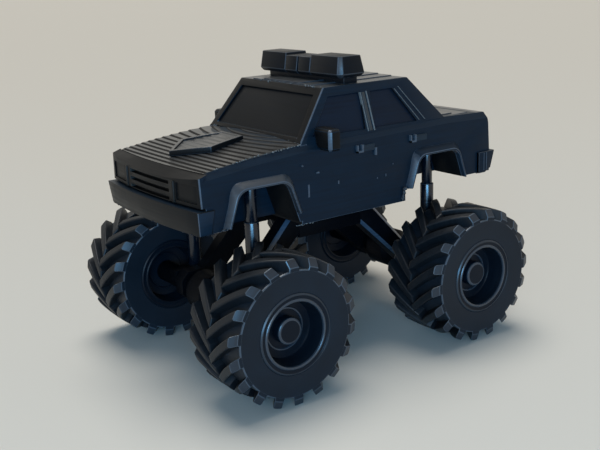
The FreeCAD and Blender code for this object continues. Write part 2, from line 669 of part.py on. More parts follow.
# ---------------------------------------------------------------- bumpers
front_plan = [
    ("bumper_wrap", "-bumper_half"),
    ("bumper_corner", "-bumper_half", "bumper_front", "0"),
    ("bumper_corner", "bumper_half"),
    ("bumper_wrap", "bumper_half"),
]
bar = prism("front_bar", "XY_Plane", front_plan, "bumper_high - bumper_low", "One side", "bumper_high", True,
            "-bumper_draw")
keep(cut("front_bumper", bar, body_shell), "front_bumper")
rear_profile = [
    ("rear_bumper_wrap", "rear_bumper_high"),
    ("rear_bumper_tip", "rear_bumper_high"),
    ("rear_bumper_toe", "rear_bumper_low + rear_bumper_rise"),
    ("rear_bumper_toe + rear_bumper_run", "rear_bumper_low"),
    ("rear_bumper_wrap", "rear_bumper_low"),
]
bar = prism("rear_bar", "XZ_Plane", rear_profile, "2 * bumper_half")
keep(cut("rear_bumper", bar, body_shell), "rear_bumper")

# ---------------------------------------------------------------- mirrors, handles, light bar
SIDES = [
    # hand, sign of y
    ("left", 1),
    ("right", -1),
]


def box(name, low, high):
    """A block between two corners given as expressions."""
    block = doc.addObject("Part::Box", name)
    bind(
        block,
        Length=f"({high[0]}) - ({low[0]})",
        Width=f"({high[1]}) - ({low[1]})",
        Height=f"({high[2]}) - ({low[2]})",
        Placement__Base__x=low[0],
        Placement__Base__y=low[1],
        Placement__Base__z=low[2],
    )
    return block


def side_box(name, side, low, high):
    """A block on one side: its y runs outwards from the middle of the truck."""
    if side > 0:
        return box(name, low, high)
    return box(name, (low[0], f"-({high[1]})", low[2]), (high[0], f"-({low[1]})", high[2]))


HANDLES = [
    # door, front end, height
    ("front", "handle_front", "handle_height"),
    ("rear", "rear_handle_front", "rear_handle_height"),
]
for hand, side in SIDES:
    mirror = new_body(f"mirror_{hand}_housing")
    plan = [
        ("mirror_place", f"{side} * (glass_base_half - root_overlap)"),
        ("mirror_place + mirror_depth", f"{side} * (glass_base_half - root_overlap)"),
        ("mirror_place + mirror_depth", f"{side} * (mirror_reach - mirror_bevel)"),
        ("mirror_place + mirror_depth - mirror_bevel", f"{side} * mirror_reach"),
        ("mirror_place", f"{side} * mirror_reach"),
    ]
    pad(mirror, sketch(mirror, "XY_Plane", plan, "mirror_foot"), "mirror_tall")
    bevel_edges(mirror, "mirror_corner", lambda m, e: m.x > size("mirror_place + 1") and abs(e[0].z - e[1].z) < 0.1
                and abs(m.y) > size("glass_base_half"))
    beside = cut(f"mirror_{hand}_beside", mirror, outer_cabin)
    keep(cut(f"mirror_{hand}", beside, body_shell), f"mirror_{hand}")
    for door, front, height in HANDLES:
        handle = side_box(f"handle_{door}_{hand}_block", side,
                          (f"{front} - handle_long", "belt_half - root_overlap", height),
                          (front, "body_half + handle_out", f"{height} + handle_tall"))
        keep(cut(f"handle_{door}_{hand}", handle, body_shell), f"door_handle_{door}_{hand}")

bar_base = box("bar_base", ("bar_rear + bar_inset_rear", "bar_inset_end - bar_half", "roof_height"),
               ("bar_front - bar_inset", "bar_half - bar_inset_end", "bar_foot"))
keep(cut("seated_base", bar_base, outer_cabin), "light_bar_base")

# The pods are slices of one long block with bevelled front corners, which draws in up to its top and, faster, to its
# foot.
pod_plan = [
    ("bar_rear", "-bar_half"), ("bar_front - pod_bevel", "-bar_half"), ("bar_front", "pod_bevel - bar_half"),
    ("bar_front", "bar_half - pod_bevel"), ("bar_front - pod_bevel", "bar_half"), ("bar_rear", "bar_half"),
]
pods = new_body("pods")
pad(pods, sketch(pods, "XY_Plane", pod_plan, "bar_wide"), "bar_top - bar_wide", taper="-pod_draw")
pad(pods, sketch(pods, "XY_Plane", pod_plan, "bar_wide"), "bar_wide - bar_foot", reversed_way=True,
    taper="-pod_undercut")
for hand, side in SIDES:
    outer = side_box(f"pod_{hand}_space", side, ("bar_rear", "pod_inner", "bar_foot"),
                     ("bar_front", "bar_half", "bar_top"))
    keep(common(f"pod_{hand}", pods, outer), f"light_bar_pod_{hand}")
    inner = side_box(f"middle_{hand}_space", side, ("bar_rear", "bar_split", "bar_foot"),
                     ("bar_front", "pod_inner - pod_gap", "bar_top - middle_drop"))
    keep(common(f"middle_{hand}", pods, inner), f"light_bar_middle_{hand}")

# ---------------------------------------------------------------- axles
# Each axle is one turned beam: a housing in the middle, and at each end a pin with a snap head that the wheel
# turns on. Two flat perches carry the shocks.
INNER_FACE = "(wheel_track / 2 - tyre_width / 2)"
WEB_INNER = f"({INNER_FACE} + dish_depth)"
WEB_OUTER = "(wheel_track / 2 + tyre_width / 2 - dish_depth)"
AXLES = [
    # name, middle of the axle, how far the shocks stand behind it
    ("front", "(axle_shift + wheel_base / 2)", "front_shock_back"),
    ("rear", "(axle_shift - wheel_base / 2)", "rear_shock_back"),
]
half_axle = [
    ("housing_width / 2", "housing_radius"),
    ("housing_width / 2 + housing_cone", "axle_radius"),
    (f"{WEB_INNER} - side_play", "axle_radius"),
    (f"{WEB_INNER} - side_play", "pin_radius"),
    (f"{WEB_OUTER} + side_play", "pin_radius"),
    (f"{WEB_OUTER} + side_play", "head_radius"),
    (f"{WEB_OUTER} + side_play + head_length", "head_radius"),
    (f"{WEB_OUTER} + side_play + head_length", "0"),
]
axle_profile = half_axle + [(f"-({across})", up) for across, up in reversed(half_axle)]
axles = {}
for end, middle, shock_back in AXLES:
    axle = new_body(f"{end}_axle_body")
    revolve(axle, sketch(axle, "YZ_Plane", axle_profile))
    bind(axle, Placement__Base__x=middle, Placement__Base__z="tyre_diameter / 2")
    near = (f"{middle} - {shock_back} - shock_radius", "shock_side - shock_radius", "perch_height - perch_thick")
    far = (f"{middle} + axle_radius", "shock_side + shock_radius", "perch_height")
    perches = [side_box(f"{end}_perch_{hand}", side, near, far) for hand, side in SIDES]
    axles[end] = keep(fuse(f"{end}_axle", [axle] + perches), f"{end}_axle")

# ---------------------------------------------------------------- chassis, arms, shocks
# Two rails under the sill carry a plate, and from each rail's end a thick arm falls to the axle.
EYE = [
    # along, up: corners of the arm's end block, in halves of its size, from its lower near corner round to the top
    ("-1", "-0.45"), ("-0.45", "-1"), ("0.45", "-1"), ("1", "-0.45"), ("1", "0.45"), ("0.45", "1"), ("-0.7", "1"),
]
for end, sign in (("front", "1"), ("rear", "-1")):
    middle = f"(axle_shift + {sign} * wheel_base / 2)"
    for hand, side in SIDES:
        near = f"axle_shift + {sign} * rail_half"
        outline = [(f"{near} + {sign} * arm_root", "floor_height"), (near, "floor_height"), (near, "rail_low")] + [
            (f"{middle} + {sign} * ({along}) * arm_eye", f"tyre_diameter / 2 + ({up}) * arm_eye")
            for along, up in EYE
        ]
        arm = new_body(f"arm_{end}_{hand}")
        pad(arm, sketch(arm, "XZ_Plane", outline, f"{-side} * rail_inner"), "rail_outer - rail_inner",
            reversed_way=side > 0)
        past = size(f"{near} + {sign} * arm_root")
        bevel_edges(arm, "arm_bevel", lambda m, e: abs(abs(m.y) - size("rail_outer")) < 0.01
                    and abs(m.x) > abs(past) - 0.5 and m.z < size("floor_height") - 0.5)
        keep(cut(f"link_arm_{end}_{hand}", arm, axles[end]), f"link_arm_{end}_{hand}")
for hand, side in SIDES:
    keep(side_box(f"rail_{hand}", side, ("axle_shift - rail_half", "rail_inner", "rail_low"),
                  ("axle_shift + rail_half", "rail_outer", "floor_height")), f"chassis_rail_{hand}")
keep(box("plate", ("axle_shift - rail_half", "-rail_inner", "plate_low"),
         ("axle_shift + rail_half", "rail_inner", "floor_height")), "chassis_plate")


def cylinder(name, radius, place, foot, top):
    post = doc.addObject("Part::Cylinder", name)
    bind(post, Radius=radius, Height=f"{top} - {foot}", Placement__Base__x=place[0], Placement__Base__y=place[1],
         Placement__Base__z=foot)
    return post


for end, middle, shock_back in AXLES:
    for hand, side in SIDES:
        place = (f"{middle} - {shock_back}", f"{side} * shock_side")
        keep(cylinder(f"shock_body_{end}_{hand}", "shock_radius", place, "perch_height", "shock_break"),
             f"shock_body_{end}_{hand}")
        rod = cylinder(f"shock_rod_{end}_{hand}_bar", "rod_radius", place, "shock_break", "arch_top")
        keep(cut(f"shock_rod_{end}_{hand}", rod, body_shell), f"shock_rod_{end}_{hand}")

# ---------------------------------------------------------------- wheels
# Tyre, rim and hub cap are turned outlines, drawn once: across is along the axle, outwards from the tyre's middle.
HALF = "tyre_width / 2"
tyre_profile = [
    (f"-{HALF}", "rim_radius"),
    (HALF, "rim_radius"),
    (HALF, "tyre_diameter / 2 - shoulder_drop"),
    (f"{HALF} - tyre_shoulder", "tyre_diameter / 2"),
    (f"-({HALF} - tyre_shoulder)", "tyre_diameter / 2"),
    (f"-{HALF}", "tyre_diameter / 2 - shoulder_drop"),
]
rim_profile = [
    (f"-{HALF}", "rim_radius"),
    (f"-{HALF}", "rim_mouth"),
    (f"-({HALF} - dish_depth)", "dish_floor"),
    (f"-({HALF} - dish_depth)", "pin_radius + pin_play"),
    (f"{HALF} - dish_depth", "pin_radius + pin_play"),
    (f"{HALF} - dish_depth", "dish_floor"),
    (HALF, "rim_mouth"),
    (HALF, "rim_radius"),
]
cap_profile = [
    (f"{HALF} - dish_depth", "head_radius + side_play"),
    (f"{HALF} - dish_depth", "cap_radius"),
    (f"{HALF} - dish_depth + cap_height - cap_edge", "cap_radius"),
    (f"{HALF} - dish_depth + cap_height", "cap_radius - cap_edge"),
    (f"{HALF} - dish_depth + cap_height", "0"),
    (f"{HALF} - dish_depth + head_length + 2 * side_play", "0"),
    (f"{HALF} - dish_depth + head_length + 2 * side_play", "head_radius + side_play"),
]
WHEEL_PIECES = [
    # name, outline
    ("tyre", tyre_profile),
    ("rim", rim_profile),
    ("hub_cap", cap_profile),
]
for end, middle, _ in AXLES:
    for hand, side in SIDES:
        for name, profile in WHEEL_PIECES:
            turned = new_body(f"{name}_{end}_{hand}_body")
            revolve(turned, sketch(turned, "YZ_Plane", profile))
            turned.Placement = Placement(Vector(), Rotation(Vector(0, 0, 1), 0 if side > 0 else 180))
            bind(turned, Placement__Base__x=middle, Placement__Base__y=f"{side} * wheel_track / 2",
                 Placement__Base__z="tyre_diameter / 2")
            keep(turned, f"{name}_{end}_{hand}")

doc.recompute()

# ---------------------------------------------------------------- write the files
failed = [o.Name for o in doc.Objects if {"Invalid", "Error"} & set(o.State)]
if failed:
    raise ValueError(f"failed objects: {failed}")
os.makedirs("parts", exist_ok=True)
for piece in pieces:
    shape = piece.Shape
    if shape.isNull() or not shape.isValid() or not shape.Solids:
        raise ValueError(f"{piece.Label} isn't a valid solid")
    shape.exportStep(f"parts/{piece.Label}.step")
    print(piece.Label, len(shape.Solids), round(shape.Volume, 1), shape.BoundBox)
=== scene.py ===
import bmesh
import bpy
import math
from mathutils import Matrix, Vector


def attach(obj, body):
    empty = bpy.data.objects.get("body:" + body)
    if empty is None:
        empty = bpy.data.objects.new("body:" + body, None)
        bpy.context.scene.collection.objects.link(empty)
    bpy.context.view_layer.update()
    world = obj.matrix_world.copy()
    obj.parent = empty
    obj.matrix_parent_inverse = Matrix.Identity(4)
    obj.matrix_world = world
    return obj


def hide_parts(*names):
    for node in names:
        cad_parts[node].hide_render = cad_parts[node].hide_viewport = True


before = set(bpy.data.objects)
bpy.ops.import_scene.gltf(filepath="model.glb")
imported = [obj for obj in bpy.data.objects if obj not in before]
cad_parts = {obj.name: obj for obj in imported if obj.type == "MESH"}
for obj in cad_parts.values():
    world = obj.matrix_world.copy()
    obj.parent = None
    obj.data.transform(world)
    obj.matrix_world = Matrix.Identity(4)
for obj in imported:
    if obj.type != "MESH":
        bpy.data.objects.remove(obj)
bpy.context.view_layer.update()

# Floor, light and camera: a large pale table under a soft sky, with daylight from almost straight above, a window's
# pale light at the truck's front left, and a stronger, deep blue one lower and further to the left. The camera
# stands low at that corner.
scene = bpy.context.scene
scene.view_settings.view_transform = "Standard"
CAMERA_PLACE = Vector((0.155687, 0.215849, 0.107214))
CAMERA_AIM = Vector((0.001905, -0.000204, 0.033366))
CAMERA_ROLL = math.radians(-2.234)
FOCAL_LENGTH, SENSOR_WIDTH, NEAREST = 54.92, 36, 0.005
back = (CAMERA_PLACE - CAMERA_AIM).normalized()
across = Vector((0, 0, 1)).cross(back).normalized()
upwards = back.cross(across)
side_axis = across * math.cos(CAMERA_ROLL) + upwards * math.sin(CAMERA_ROLL)
up_axis = upwards * math.cos(CAMERA_ROLL) - across * math.sin(CAMERA_ROLL)
lens = bpy.data.cameras.new("camera")
lens.lens = FOCAL_LENGTH
lens.sensor_width = SENSOR_WIDTH
lens.clip_start = NEAREST
camera = bpy.data.objects.new("camera", lens)
camera.matrix_world = Matrix((
    (side_axis.x, up_axis.x, back.x, CAMERA_PLACE.x),
    (side_axis.y, up_axis.y, back.y, CAMERA_PLACE.y),
    (side_axis.z, up_axis.z, back.z, CAMERA_PLACE.z),
    (0, 0, 0, 1),
))
scene.collection.objects.link(camera)
scene.camera = camera

SKY_BLUE, SKY_STRENGTH = (0.70, 0.85, 1.0, 1), 0.20
PALE_ROOM = (0.66, 0.64, 0.59, 1)
world = bpy.data.worlds.new("sky")
scene.world = world
world.use_nodes = True
sky = world.node_tree
sky.nodes.clear()
sky_out = sky.nodes.new("ShaderNodeOutputWorld")
sky_light = sky.nodes.new("ShaderNodeBackground")
sky_light.inputs["Color"].default_value = SKY_BLUE
sky_light.inputs["Strength"].default_value = SKY_STRENGTH
sky_seen = sky.nodes.new("ShaderNodeBackground")
sky_seen.inputs["Color"].default_value = PALE_ROOM
sky_seen.inputs["Strength"].default_value = 1.0
sky_path = sky.nodes.new("ShaderNodeLightPath")
sky_mix = sky.nodes.new("ShaderNodeMixShader")
sky_pale = sky.nodes.new("ShaderNodeMath")
sky_pale.operation = "MAXIMUM"
sky.links.new(sky_path.outputs["Is Camera Ray"], sky_pale.inputs[0])
sky.links.new(sky_path.outputs["Is Glossy Ray"], sky_pale.inputs[1])
sky.links.new(sky_pale.outputs[0], sky_mix.inputs[0])
sky.links.new(sky_light.outputs[0], sky_mix.inputs[1])
sky.links.new(sky_seen.outputs[0], sky_mix.inputs[2])
sky.links.new(sky_mix.outputs[0], sky_out.inputs["Surface"])


def lamp(name, place, aim, width, height, watts, colour):
    """A soft rectangular panel, unseen by the camera, that shines from place towards aim."""
    panel = bpy.data.lights.new(name, "AREA")
    panel.shape = "RECTANGLE"
    panel.size = width
    panel.size_y = height
    panel.energy = watts
    panel.color = colour
    holder = bpy.data.objects.new(name, panel)
    holder.location = place
    holder.rotation_euler = (Vector(aim) - Vector(place)).to_track_quat("-Z", "Y").to_euler()
    holder.visible_camera = False
    scene.collection.objects.link(holder)


lamp("window_light", (0.46, 0.46, 0.26), (0, 0, 0.04), 0.35, 0.28, 1.0, (0.72, 0.86, 1.0))
lamp("side_light", (0.44, 0.70, 0.15), (0, 0, 0.06), 0.5, 0.16, 4.9, (0.16, 0.54, 1.0))
DAY_HEADING, DAY_SOFTNESS, DAY_STRENGTH = Vector((0.10, 0.22, -0.90)), math.radians(40), 2.3
day = bpy.data.lights.new("day", "SUN")
day.energy = DAY_STRENGTH
day.angle = DAY_SOFTNESS
day.color = (1.0, 0.98, 0.95)
day_holder = bpy.data.objects.new("day", day)
day_holder.rotation_euler = DAY_HEADING.to_track_quat("-Z", "Y").to_euler()
scene.collection.objects.link(day_holder)

FLOOR_HALF = 6
floor_mesh = bpy.data.meshes.new("floor")
floor_mesh.from_pydata([(x * FLOOR_HALF, y * FLOOR_HALF, 0) for x, y in ((-1, -1), (1, -1), (1, 1), (-1, 1))], [],
                       [(0, 1, 2, 3)])
floor = bpy.data.objects.new("floor", floor_mesh)
scene.collection.objects.link(floor)
paper = bpy.data.materials.new("pale_floor")
paper.use_nodes = True
paper.node_tree.nodes["Principled BSDF"].inputs["Base Color"].default_value = (0.61, 0.575, 0.505, 1)
paper.node_tree.nodes["Principled BSDF"].inputs["Roughness"].default_value = 0.9
floor_mesh.materials.append(paper)

# Body shell: one solid print in black plastic, made upright in 0.28 mm layers. Its sides are smooth, and its nearly
# level hood and boot lid show each layer as a step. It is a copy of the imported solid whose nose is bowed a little
# and whose sharp edges are slightly rounded, as the nozzle leaves them.
MM = 0.001
STREAKS, STREAK_LENGTH, CLOUDS, CLOUD_SHARE = 1600, 0.03, 160, 0.35
DARK_END, PALE_END, RIDGE_HEIGHT = 0.3, 0.7, 0.00012
SMOOTHER, ROUGHER, INDEX = 0.07, 0.09, 1.48
SAME_PLACE, SAME_PLANE = 2e-6, math.radians(1.0)
SHARP, CHOSEN_SHARP, LOOKS_FORWARDS = math.radians(25), math.radians(20), 0.45


def printed_plastic(name, axis, shade, gloss, shine=0.14, streak=0.10, grain=0.35):
    """Black printed plastic: layers stacked along an axis, each a little lighter or darker and finely ridged."""
    plastic = bpy.data.materials.new(name)
    plastic.use_nodes = True
    tree = plastic.node_tree
    shader = tree.nodes["Principled BSDF"]
    shader.inputs["IOR"].default_value = INDEX
    shader.inputs["Specular IOR Level"].default_value = shine
    place = tree.nodes.new("ShaderNodeTexCoord")
    stretch = tree.nodes.new("ShaderNodeMapping")
    stretch.inputs["Scale"].default_value = [1 if letter == axis else STREAK_LENGTH for letter in "XYZ"]
    tree.links.new(place.outputs["Object"], stretch.inputs["Vector"])
    layers = tree.nodes.new("ShaderNodeTexNoise")
    layers.inputs["Scale"].default_value = STREAKS
    layers.inputs["Detail"].default_value = 3
    tree.links.new(stretch.outputs[0], layers.inputs["Vector"])
    cloud = tree.nodes.new("ShaderNodeTexNoise")
    cloud.inputs["Scale"].default_value = CLOUDS
    cloud.inputs["Detail"].default_value = 4
    tree.links.new(place.outputs["Object"], cloud.inputs["Vector"])
    blend = tree.nodes.new("ShaderNodeMix")
    blend.inputs["Factor"].default_value = CLOUD_SHARE
    tree.links.new(layers.outputs["Fac"], blend.inputs["A"])
    tree.links.new(cloud.outputs["Fac"], blend.inputs["B"])
    tint = tree.nodes.new("ShaderNodeValToRGB")
    tint.color_ramp.elements[0].position = DARK_END
    tint.color_ramp.elements[1].position = PALE_END
    tint.color_ramp.elements[0].color = [c * (1 - streak * 2) for c in shade] + [1]
    tint.color_ramp.elements[1].color = [c * (1 + streak * 2) for c in shade] + [1]
    tree.links.new(blend.outputs["Result"], tint.inputs["Fac"])
    tree.links.new(tint.outputs["Color"], shader.inputs["Base Color"])
    sheen = tree.nodes.new("ShaderNodeMapRange")
    sheen.inputs["From Min"].default_value = DARK_END
    sheen.inputs["From Max"].default_value = PALE_END
    sheen.inputs["To Min"].default_value = gloss - SMOOTHER
    sheen.inputs["To Max"].default_value = gloss + ROUGHER
    tree.links.new(blend.outputs["Result"], sheen.inputs["Value"])
    tree.links.new(sheen.outputs[0], shader.inputs["Roughness"])
    ridges = tree.nodes.new("ShaderNodeBump")
    ridges.inputs["Strength"].default_value = grain
    ridges.inputs["Distance"].default_value = RIDGE_HEIGHT
    tree.links.new(blend.outputs["Result"], ridges.inputs["Height"])
    tree.links.new(ridges.outputs[0], shader.inputs["Normal"])
    return plastic


def merge_flat(mesh):
    """Joins up doubled corners and the faces that lie in one plane."""
    bmesh.ops.remove_doubles(mesh, verts=mesh.verts, dist=SAME_PLACE)
    bmesh.ops.dissolve_limit(mesh, angle_limit=SAME_PLANE, verts=mesh.verts, edges=mesh.edges)


def merged_copy(node):
    """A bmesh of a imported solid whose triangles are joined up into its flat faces."""
    mesh = bmesh.new()
    mesh.from_mesh(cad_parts[node].data)
    merge_flat(mesh)
    return mesh


def round_edges(mesh, width, test=None, plastic=1):
    """Rounds a mesh's sharp edges, or only those whose middle, in millimetres, passes a test. The rounded faces take
    the plastic of that number, mostly a lighter copy as a painted highlight.
    """
    chosen = []
    for edge in mesh.edges:
        middle = (edge.verts[0].co + edge.verts[1].co) / 2 / MM
        if len(edge.link_faces) == 2 and edge.calc_face_angle(0) > (CHOSEN_SHARP if test else SHARP):
            if test is None or test(middle):
                chosen.append(edge)
    bmesh.ops.bevel(mesh, geom=chosen, offset=width * MM, offset_type="OFFSET", segments=2, profile=0.5,
                    affect="EDGES", clamp_overlap=test is None, material=plastic)


def finish_piece(mesh, name, plastics, nodes=(), smooth=30, facing=False, body="truck"):
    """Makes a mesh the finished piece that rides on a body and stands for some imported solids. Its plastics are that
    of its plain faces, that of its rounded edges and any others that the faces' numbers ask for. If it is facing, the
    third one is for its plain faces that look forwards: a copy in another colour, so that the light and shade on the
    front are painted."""
    for face in mesh.faces:
        face.smooth = True
        if facing and face.normal.x > LOOKS_FORWARDS and face.material_index == 0:
            face.material_index = 2
    for edge in mesh.edges:
        edge.smooth = len(edge.link_faces) == 2 and edge.calc_face_angle(0) < math.radians(smooth)
    data = bpy.data.meshes.new(name)
    mesh.to_mesh(data)
    mesh.free()
    for plastic in plastics:
        data.materials.append(plastic)
    piece = bpy.data.objects.new(name, data)
    scene.collection.objects.link(piece)
    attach(piece, body)
    if nodes:
        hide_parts(*nodes)


def soften(node, plastics, width=0.25, facing=False):
    """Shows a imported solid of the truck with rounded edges."""
    mesh = merged_copy(node)
    round_edges(mesh, width)
    finish_piece(mesh, f"{node}_print", plastics, (node,), facing=facing)


# The body's plastic is tinted blue as painted blue light on the sides; the front copy is darker and neutral, as
# painted shade on faces that look forwards.
painted_blue_light_plastic = printed_plastic("painted_blue_light_plastic", "Z", (0.0038, 0.0112, 0.0200), 0.42)
front_painted_shade_plastic = printed_plastic("front_painted_shade_plastic", "Z", (0.0055, 0.0054, 0.0056), 0.42, 0.13)
# The edge copies are lighter, as painted highlights on rounded edges and small marks; the dim one less so.
painted_highlight_plastic = printed_plastic("painted_highlight_plastic", "Z", (0.050, 0.066, 0.085), 0.34, 0.5)
dim_painted_highlight_plastic = printed_plastic("dim_painted_highlight_plastic", "Z", (0.018, 0.023, 0.029), 0.36, 0.4)
# The layer; then the height of the hood's front edge, its foot at the windscreen, half its width, and how far the
# shell's own hood sinks under the printed layers.
LAYER, HOOD_EDGE, HOOD_FOOT, HOOD_HALF, HOOD_SINK = 0.28, 59.9, 15.8, 23.3, 0.15
# The radius of the nose's bow, its top edge, where its edges and faces start, and the cuts that let it bend; then the
# start, half the width and the foot of its front, painted in the darker neutral copy as painted shade.
NOSE_BOW, NOSE_TOP, NOSE_START, NOSE_FACE, NOSE_CUTS = 179.0, 47.5, 44, 48, range(-20, 21, 5)
FRONT_START, FRONT_HALF, FRONT_FOOT = 46.5, 24, 52
shell = merged_copy("body_shell")
for y in NOSE_CUTS:
    near_nose = [e for e in shell.edges if min(v.co.x for v in e.verts) > NOSE_START * MM]
    near_nose += [f for f in shell.faces if max(v.co.x for v in f.verts) > NOSE_FACE * MM] + list(shell.verts)
    bmesh.ops.bisect_plane(shell, geom=near_nose, plane_co=(0, y * MM, 0), plane_no=(0, 1, 0), dist=1e-7)
for vert in shell.verts:
    spot = vert.co / MM
    on_top = spot.z > HOOD_EDGE - 0.05
    if on_top and spot.x > NOSE_TOP:
        vert.co.x -= spot.y ** 2 / (2 * NOSE_BOW) * MM
    if on_top and spot.x > HOOD_FOOT and abs(spot.y) < HOOD_HALF:
        vert.co.z -= HOOD_SINK * MM
for face in shell.faces:
    spot = face.calc_center_median() / MM
    if spot.x > FRONT_START and abs(spot.y) < FRONT_HALF and spot.z > FRONT_FOOT:
        face.material_index = 2
# The nose's two upright corners, then the lower edges of the sides: the wheel arches, the sill and the tail. Their
# rounded faces are painted light, as painted highlights.
round_edges(shell, 0.3, lambda m: m.x > 47 and abs(m.y) > 23.5 and 53 < m.z < 58)
round_edges(shell, 0.15, lambda m: abs(m.y) > 22.5 and m.z < 57 and m.x < 48)
finish_piece(shell, "body_shell_print", (painted_blue_light_plastic, painted_highlight_plastic, front_painted_shade_plastic), ("body_shell",), 25, True)

WALL_INSIDE, SPOT_FACE = 24.2, 25.13


def slab(mesh, front, rear, low, high, out, sign, plastic=1):
    """A small upright slab on the body's side, from inside its wall out to a distance from the middle."""
    made = bmesh.ops.create_cube(mesh, size=1.0)["verts"]
    for vert in made:
        x = front if vert.co.x > 0 else rear
        z = high if vert.co.z > 0 else low
        vert.co = Vector((x, sign * (out if vert.co.y > 0 else WALL_INSIDE), z)) * MM
    for face in {f for v in made for f in v.link_faces}:
        face.material_index = plastic


def finish_blocks(mesh, name, plastics, nodes=()):
    """Turns the faces of small blocks outwards and makes them one finished piece of the body."""
    bmesh.ops.recalc_face_normals(mesh, faces=mesh.faces)
    finish_piece(mesh, name, plastics, nodes, 20)


DOOR_SPOTS = [
    # front, rear, low, high: a raised tick at the door's front edge, then small spots where the nozzle paused
    (16.8, 16.3, 49.0, 52.4),
    (18.45, 18.1, 57.5, 57.9),
    (13.8, 12.9, 55.0, 55.4),
    (6.7, 6.3, 51.0, 51.9),
    (-7.15, -7.45, 50.2, 50.6),
    (-10.3, -10.55, 50.4, 51.1),
    (-13.0, -13.25, 53.4, 53.7),
]
# The tick and the spots take the edge copy, painted light as painted highlights.
spots = bmesh.new()
for front, rear, low, high in DOOR_SPOTS:
    slab(spots, front, rear, low, high, SPOT_FACE, 1)
finish_blocks(spots, "door_spots", (painted_blue_light_plastic, painted_highlight_plastic))

# Hood: nearly level, so each printed layer ends in a step that runs across it. The steps follow a rule: towards the
# windscreen they widen a little, curve back more at their ends and draw in at the sides. Their treads are painted
# lighter than the body, as a painted sheen on top of their real gloss, and their leaning risers are painted near
# black, as painted shade.


class Rule:
    """Writes a formula into a geometry node tree: each call adds one node and gives its result."""

    def __init__(self, tree):
        self.tree = tree

    def put(self, kind, links=(), **settings):
        node = self.tree.nodes.new(kind)
        for key, value in settings.items():
            setattr(node, key, value)
        for socket, value in links:
            if isinstance(value, bpy.types.NodeSocket):
                self.tree.links.new(value, node.inputs[socket])
            else:
                node.inputs[socket].default_value = value
        return node

    def math(self, operation, *values):
        return self.put("ShaderNodeMath", list(enumerate(values)), operation=operation).outputs[0]

    def mix(self, low, high, share):
        return self.math("MULTIPLY_ADD", self.math("SUBTRACT", high, low), share, low)

    def vector(self, x, y, z):
        return self.put("ShaderNodeCombineXYZ", list(enumerate((x, y, z)))).outputs[0]


def new_tree(name, **inputs):
    """An empty geometry node tree whose named inputs are listed by kind, a rule that writes into it, and what its
    inputs give."""
    tree = bpy.data.node_groups.new(name, "GeometryNodeTree")
    tree.interface.new_socket("Geometry", in_out="OUTPUT", socket_type="NodeSocketGeometry")
    for kind, labels in inputs.items():
        for label in labels:
            tree.interface.new_socket(label, in_out="INPUT", socket_type=f"NodeSocket{kind}")
    source = tree.nodes.new("NodeGroupInput")
    return tree, Rule(tree), source.outputs


def close_tree(rule, geometry, plastic_socket):
    """Ends a tree: real geometry, one material, output."""
    real = rule.put("GeometryNodeRealizeInstances", [("Geometry", geometry)])
    coloured = rule.put("GeometryNodeSetMaterial", [("Geometry", real.outputs[0]), ("Material", plastic_socket)])
    rule.put("NodeGroupOutput", [("Geometry", coloured.outputs[0])])


def node_piece(tree, values):
    """Runs a geometry node tree with its inputs set, and gives the result as a bmesh."""
    seed_mesh = bpy.data.meshes.new("seed")
    seed_mesh.materials.append(values["Plastic"])
    seed = bpy.data.objects.new("seed", seed_mesh)
    scene.collection.objects.link(seed)
    modifier = seed.modifiers.new("rule", "NODES")
    modifier.node_group = tree
    for item in tree.interface.items_tree:
        if item.item_type == "SOCKET" and item.in_out == "INPUT" and item.name in values:
            modifier[item.identifier] = values[item.name]
    bpy.context.view_layer.update()
    done = bpy.data.meshes.new_from_object(seed.evaluated_get(bpy.context.evaluated_depsgraph_get()))
    bpy.data.objects.remove(seed)
    mesh = bmesh.new()
    mesh.from_mesh(done)
    bpy.data.meshes.remove(done)
    for face in mesh.faces:
        face.material_index = 0
    return mesh


hood_tree, rule, given = new_tree(
    "layered_hood", Int=("Layers", "Columns"), Material=("Plastic",),
    Float=("Layer height", "Half width", "Draw in", "Nose edge", "Nose bow", "First riser", "Pitch", "Pitch growth",
           "Riser lean", "Bow", "Crown", "Back", "Base"))
rows = rule.math("MULTIPLY_ADD", given["Layers"], 2, 2)
sheet = rule.put("GeometryNodeMeshGrid", [("Size X", 1), ("Size Y", 1), ("Vertices X", rows),
                                          ("Vertices Y", given["Columns"])])
corner = rule.put("ShaderNodeSeparateXYZ", [(0, rule.put("GeometryNodeInputPosition").outputs[0])])
row = rule.math("ROUND", rule.math("MULTIPLY", rule.math("ADD", corner.outputs[0], 0.5),
                                   rule.math("SUBTRACT", rows, 1)))
level = rule.math("FLOOR", rule.math("DIVIDE", row, 2))
line = rule.math("SUBTRACT", rule.math("FLOOR", rule.math("DIVIDE", rule.math("ADD", row, 1), 2)), 1)
half = rule.math("SUBTRACT", given["Half width"], rule.math("MULTIPLY", given["Draw in"], level))
sideways = rule.math("MULTIPLY", rule.math("MULTIPLY", corner.outputs[1], 2), half)
square = rule.math("MULTIPLY", sideways, sideways)
pitch = rule.math("MULTIPLY_ADD", given["Pitch growth"], line, given["Pitch"])
bow = rule.math("MULTIPLY_ADD", given["Crown"], rule.math("POWER", rule.math("MAXIMUM", line, 0), 4), given["Bow"])
riser = rule.math("SUBTRACT", rule.math("SUBTRACT", given["First riser"], rule.math("MULTIPLY", pitch, line)),
                  rule.math("MULTIPLY", bow, square))
lean = rule.math("MULTIPLY", given["Riser lean"], rule.math("SUBTRACT", 1, rule.math("MODULO", row, 2)))
leaning = rule.math("SUBTRACT", riser, lean)
nose = rule.math("SUBTRACT", given["Nose edge"],
                 rule.math("DIVIDE", square, rule.math("MULTIPLY", given["Nose bow"], 2)))
front = rule.mix(leaning, nose, rule.math("LESS_THAN", row, 0.5))
last = rule.math("GREATER_THAN", row, rule.math("SUBTRACT", rows, 1.5))
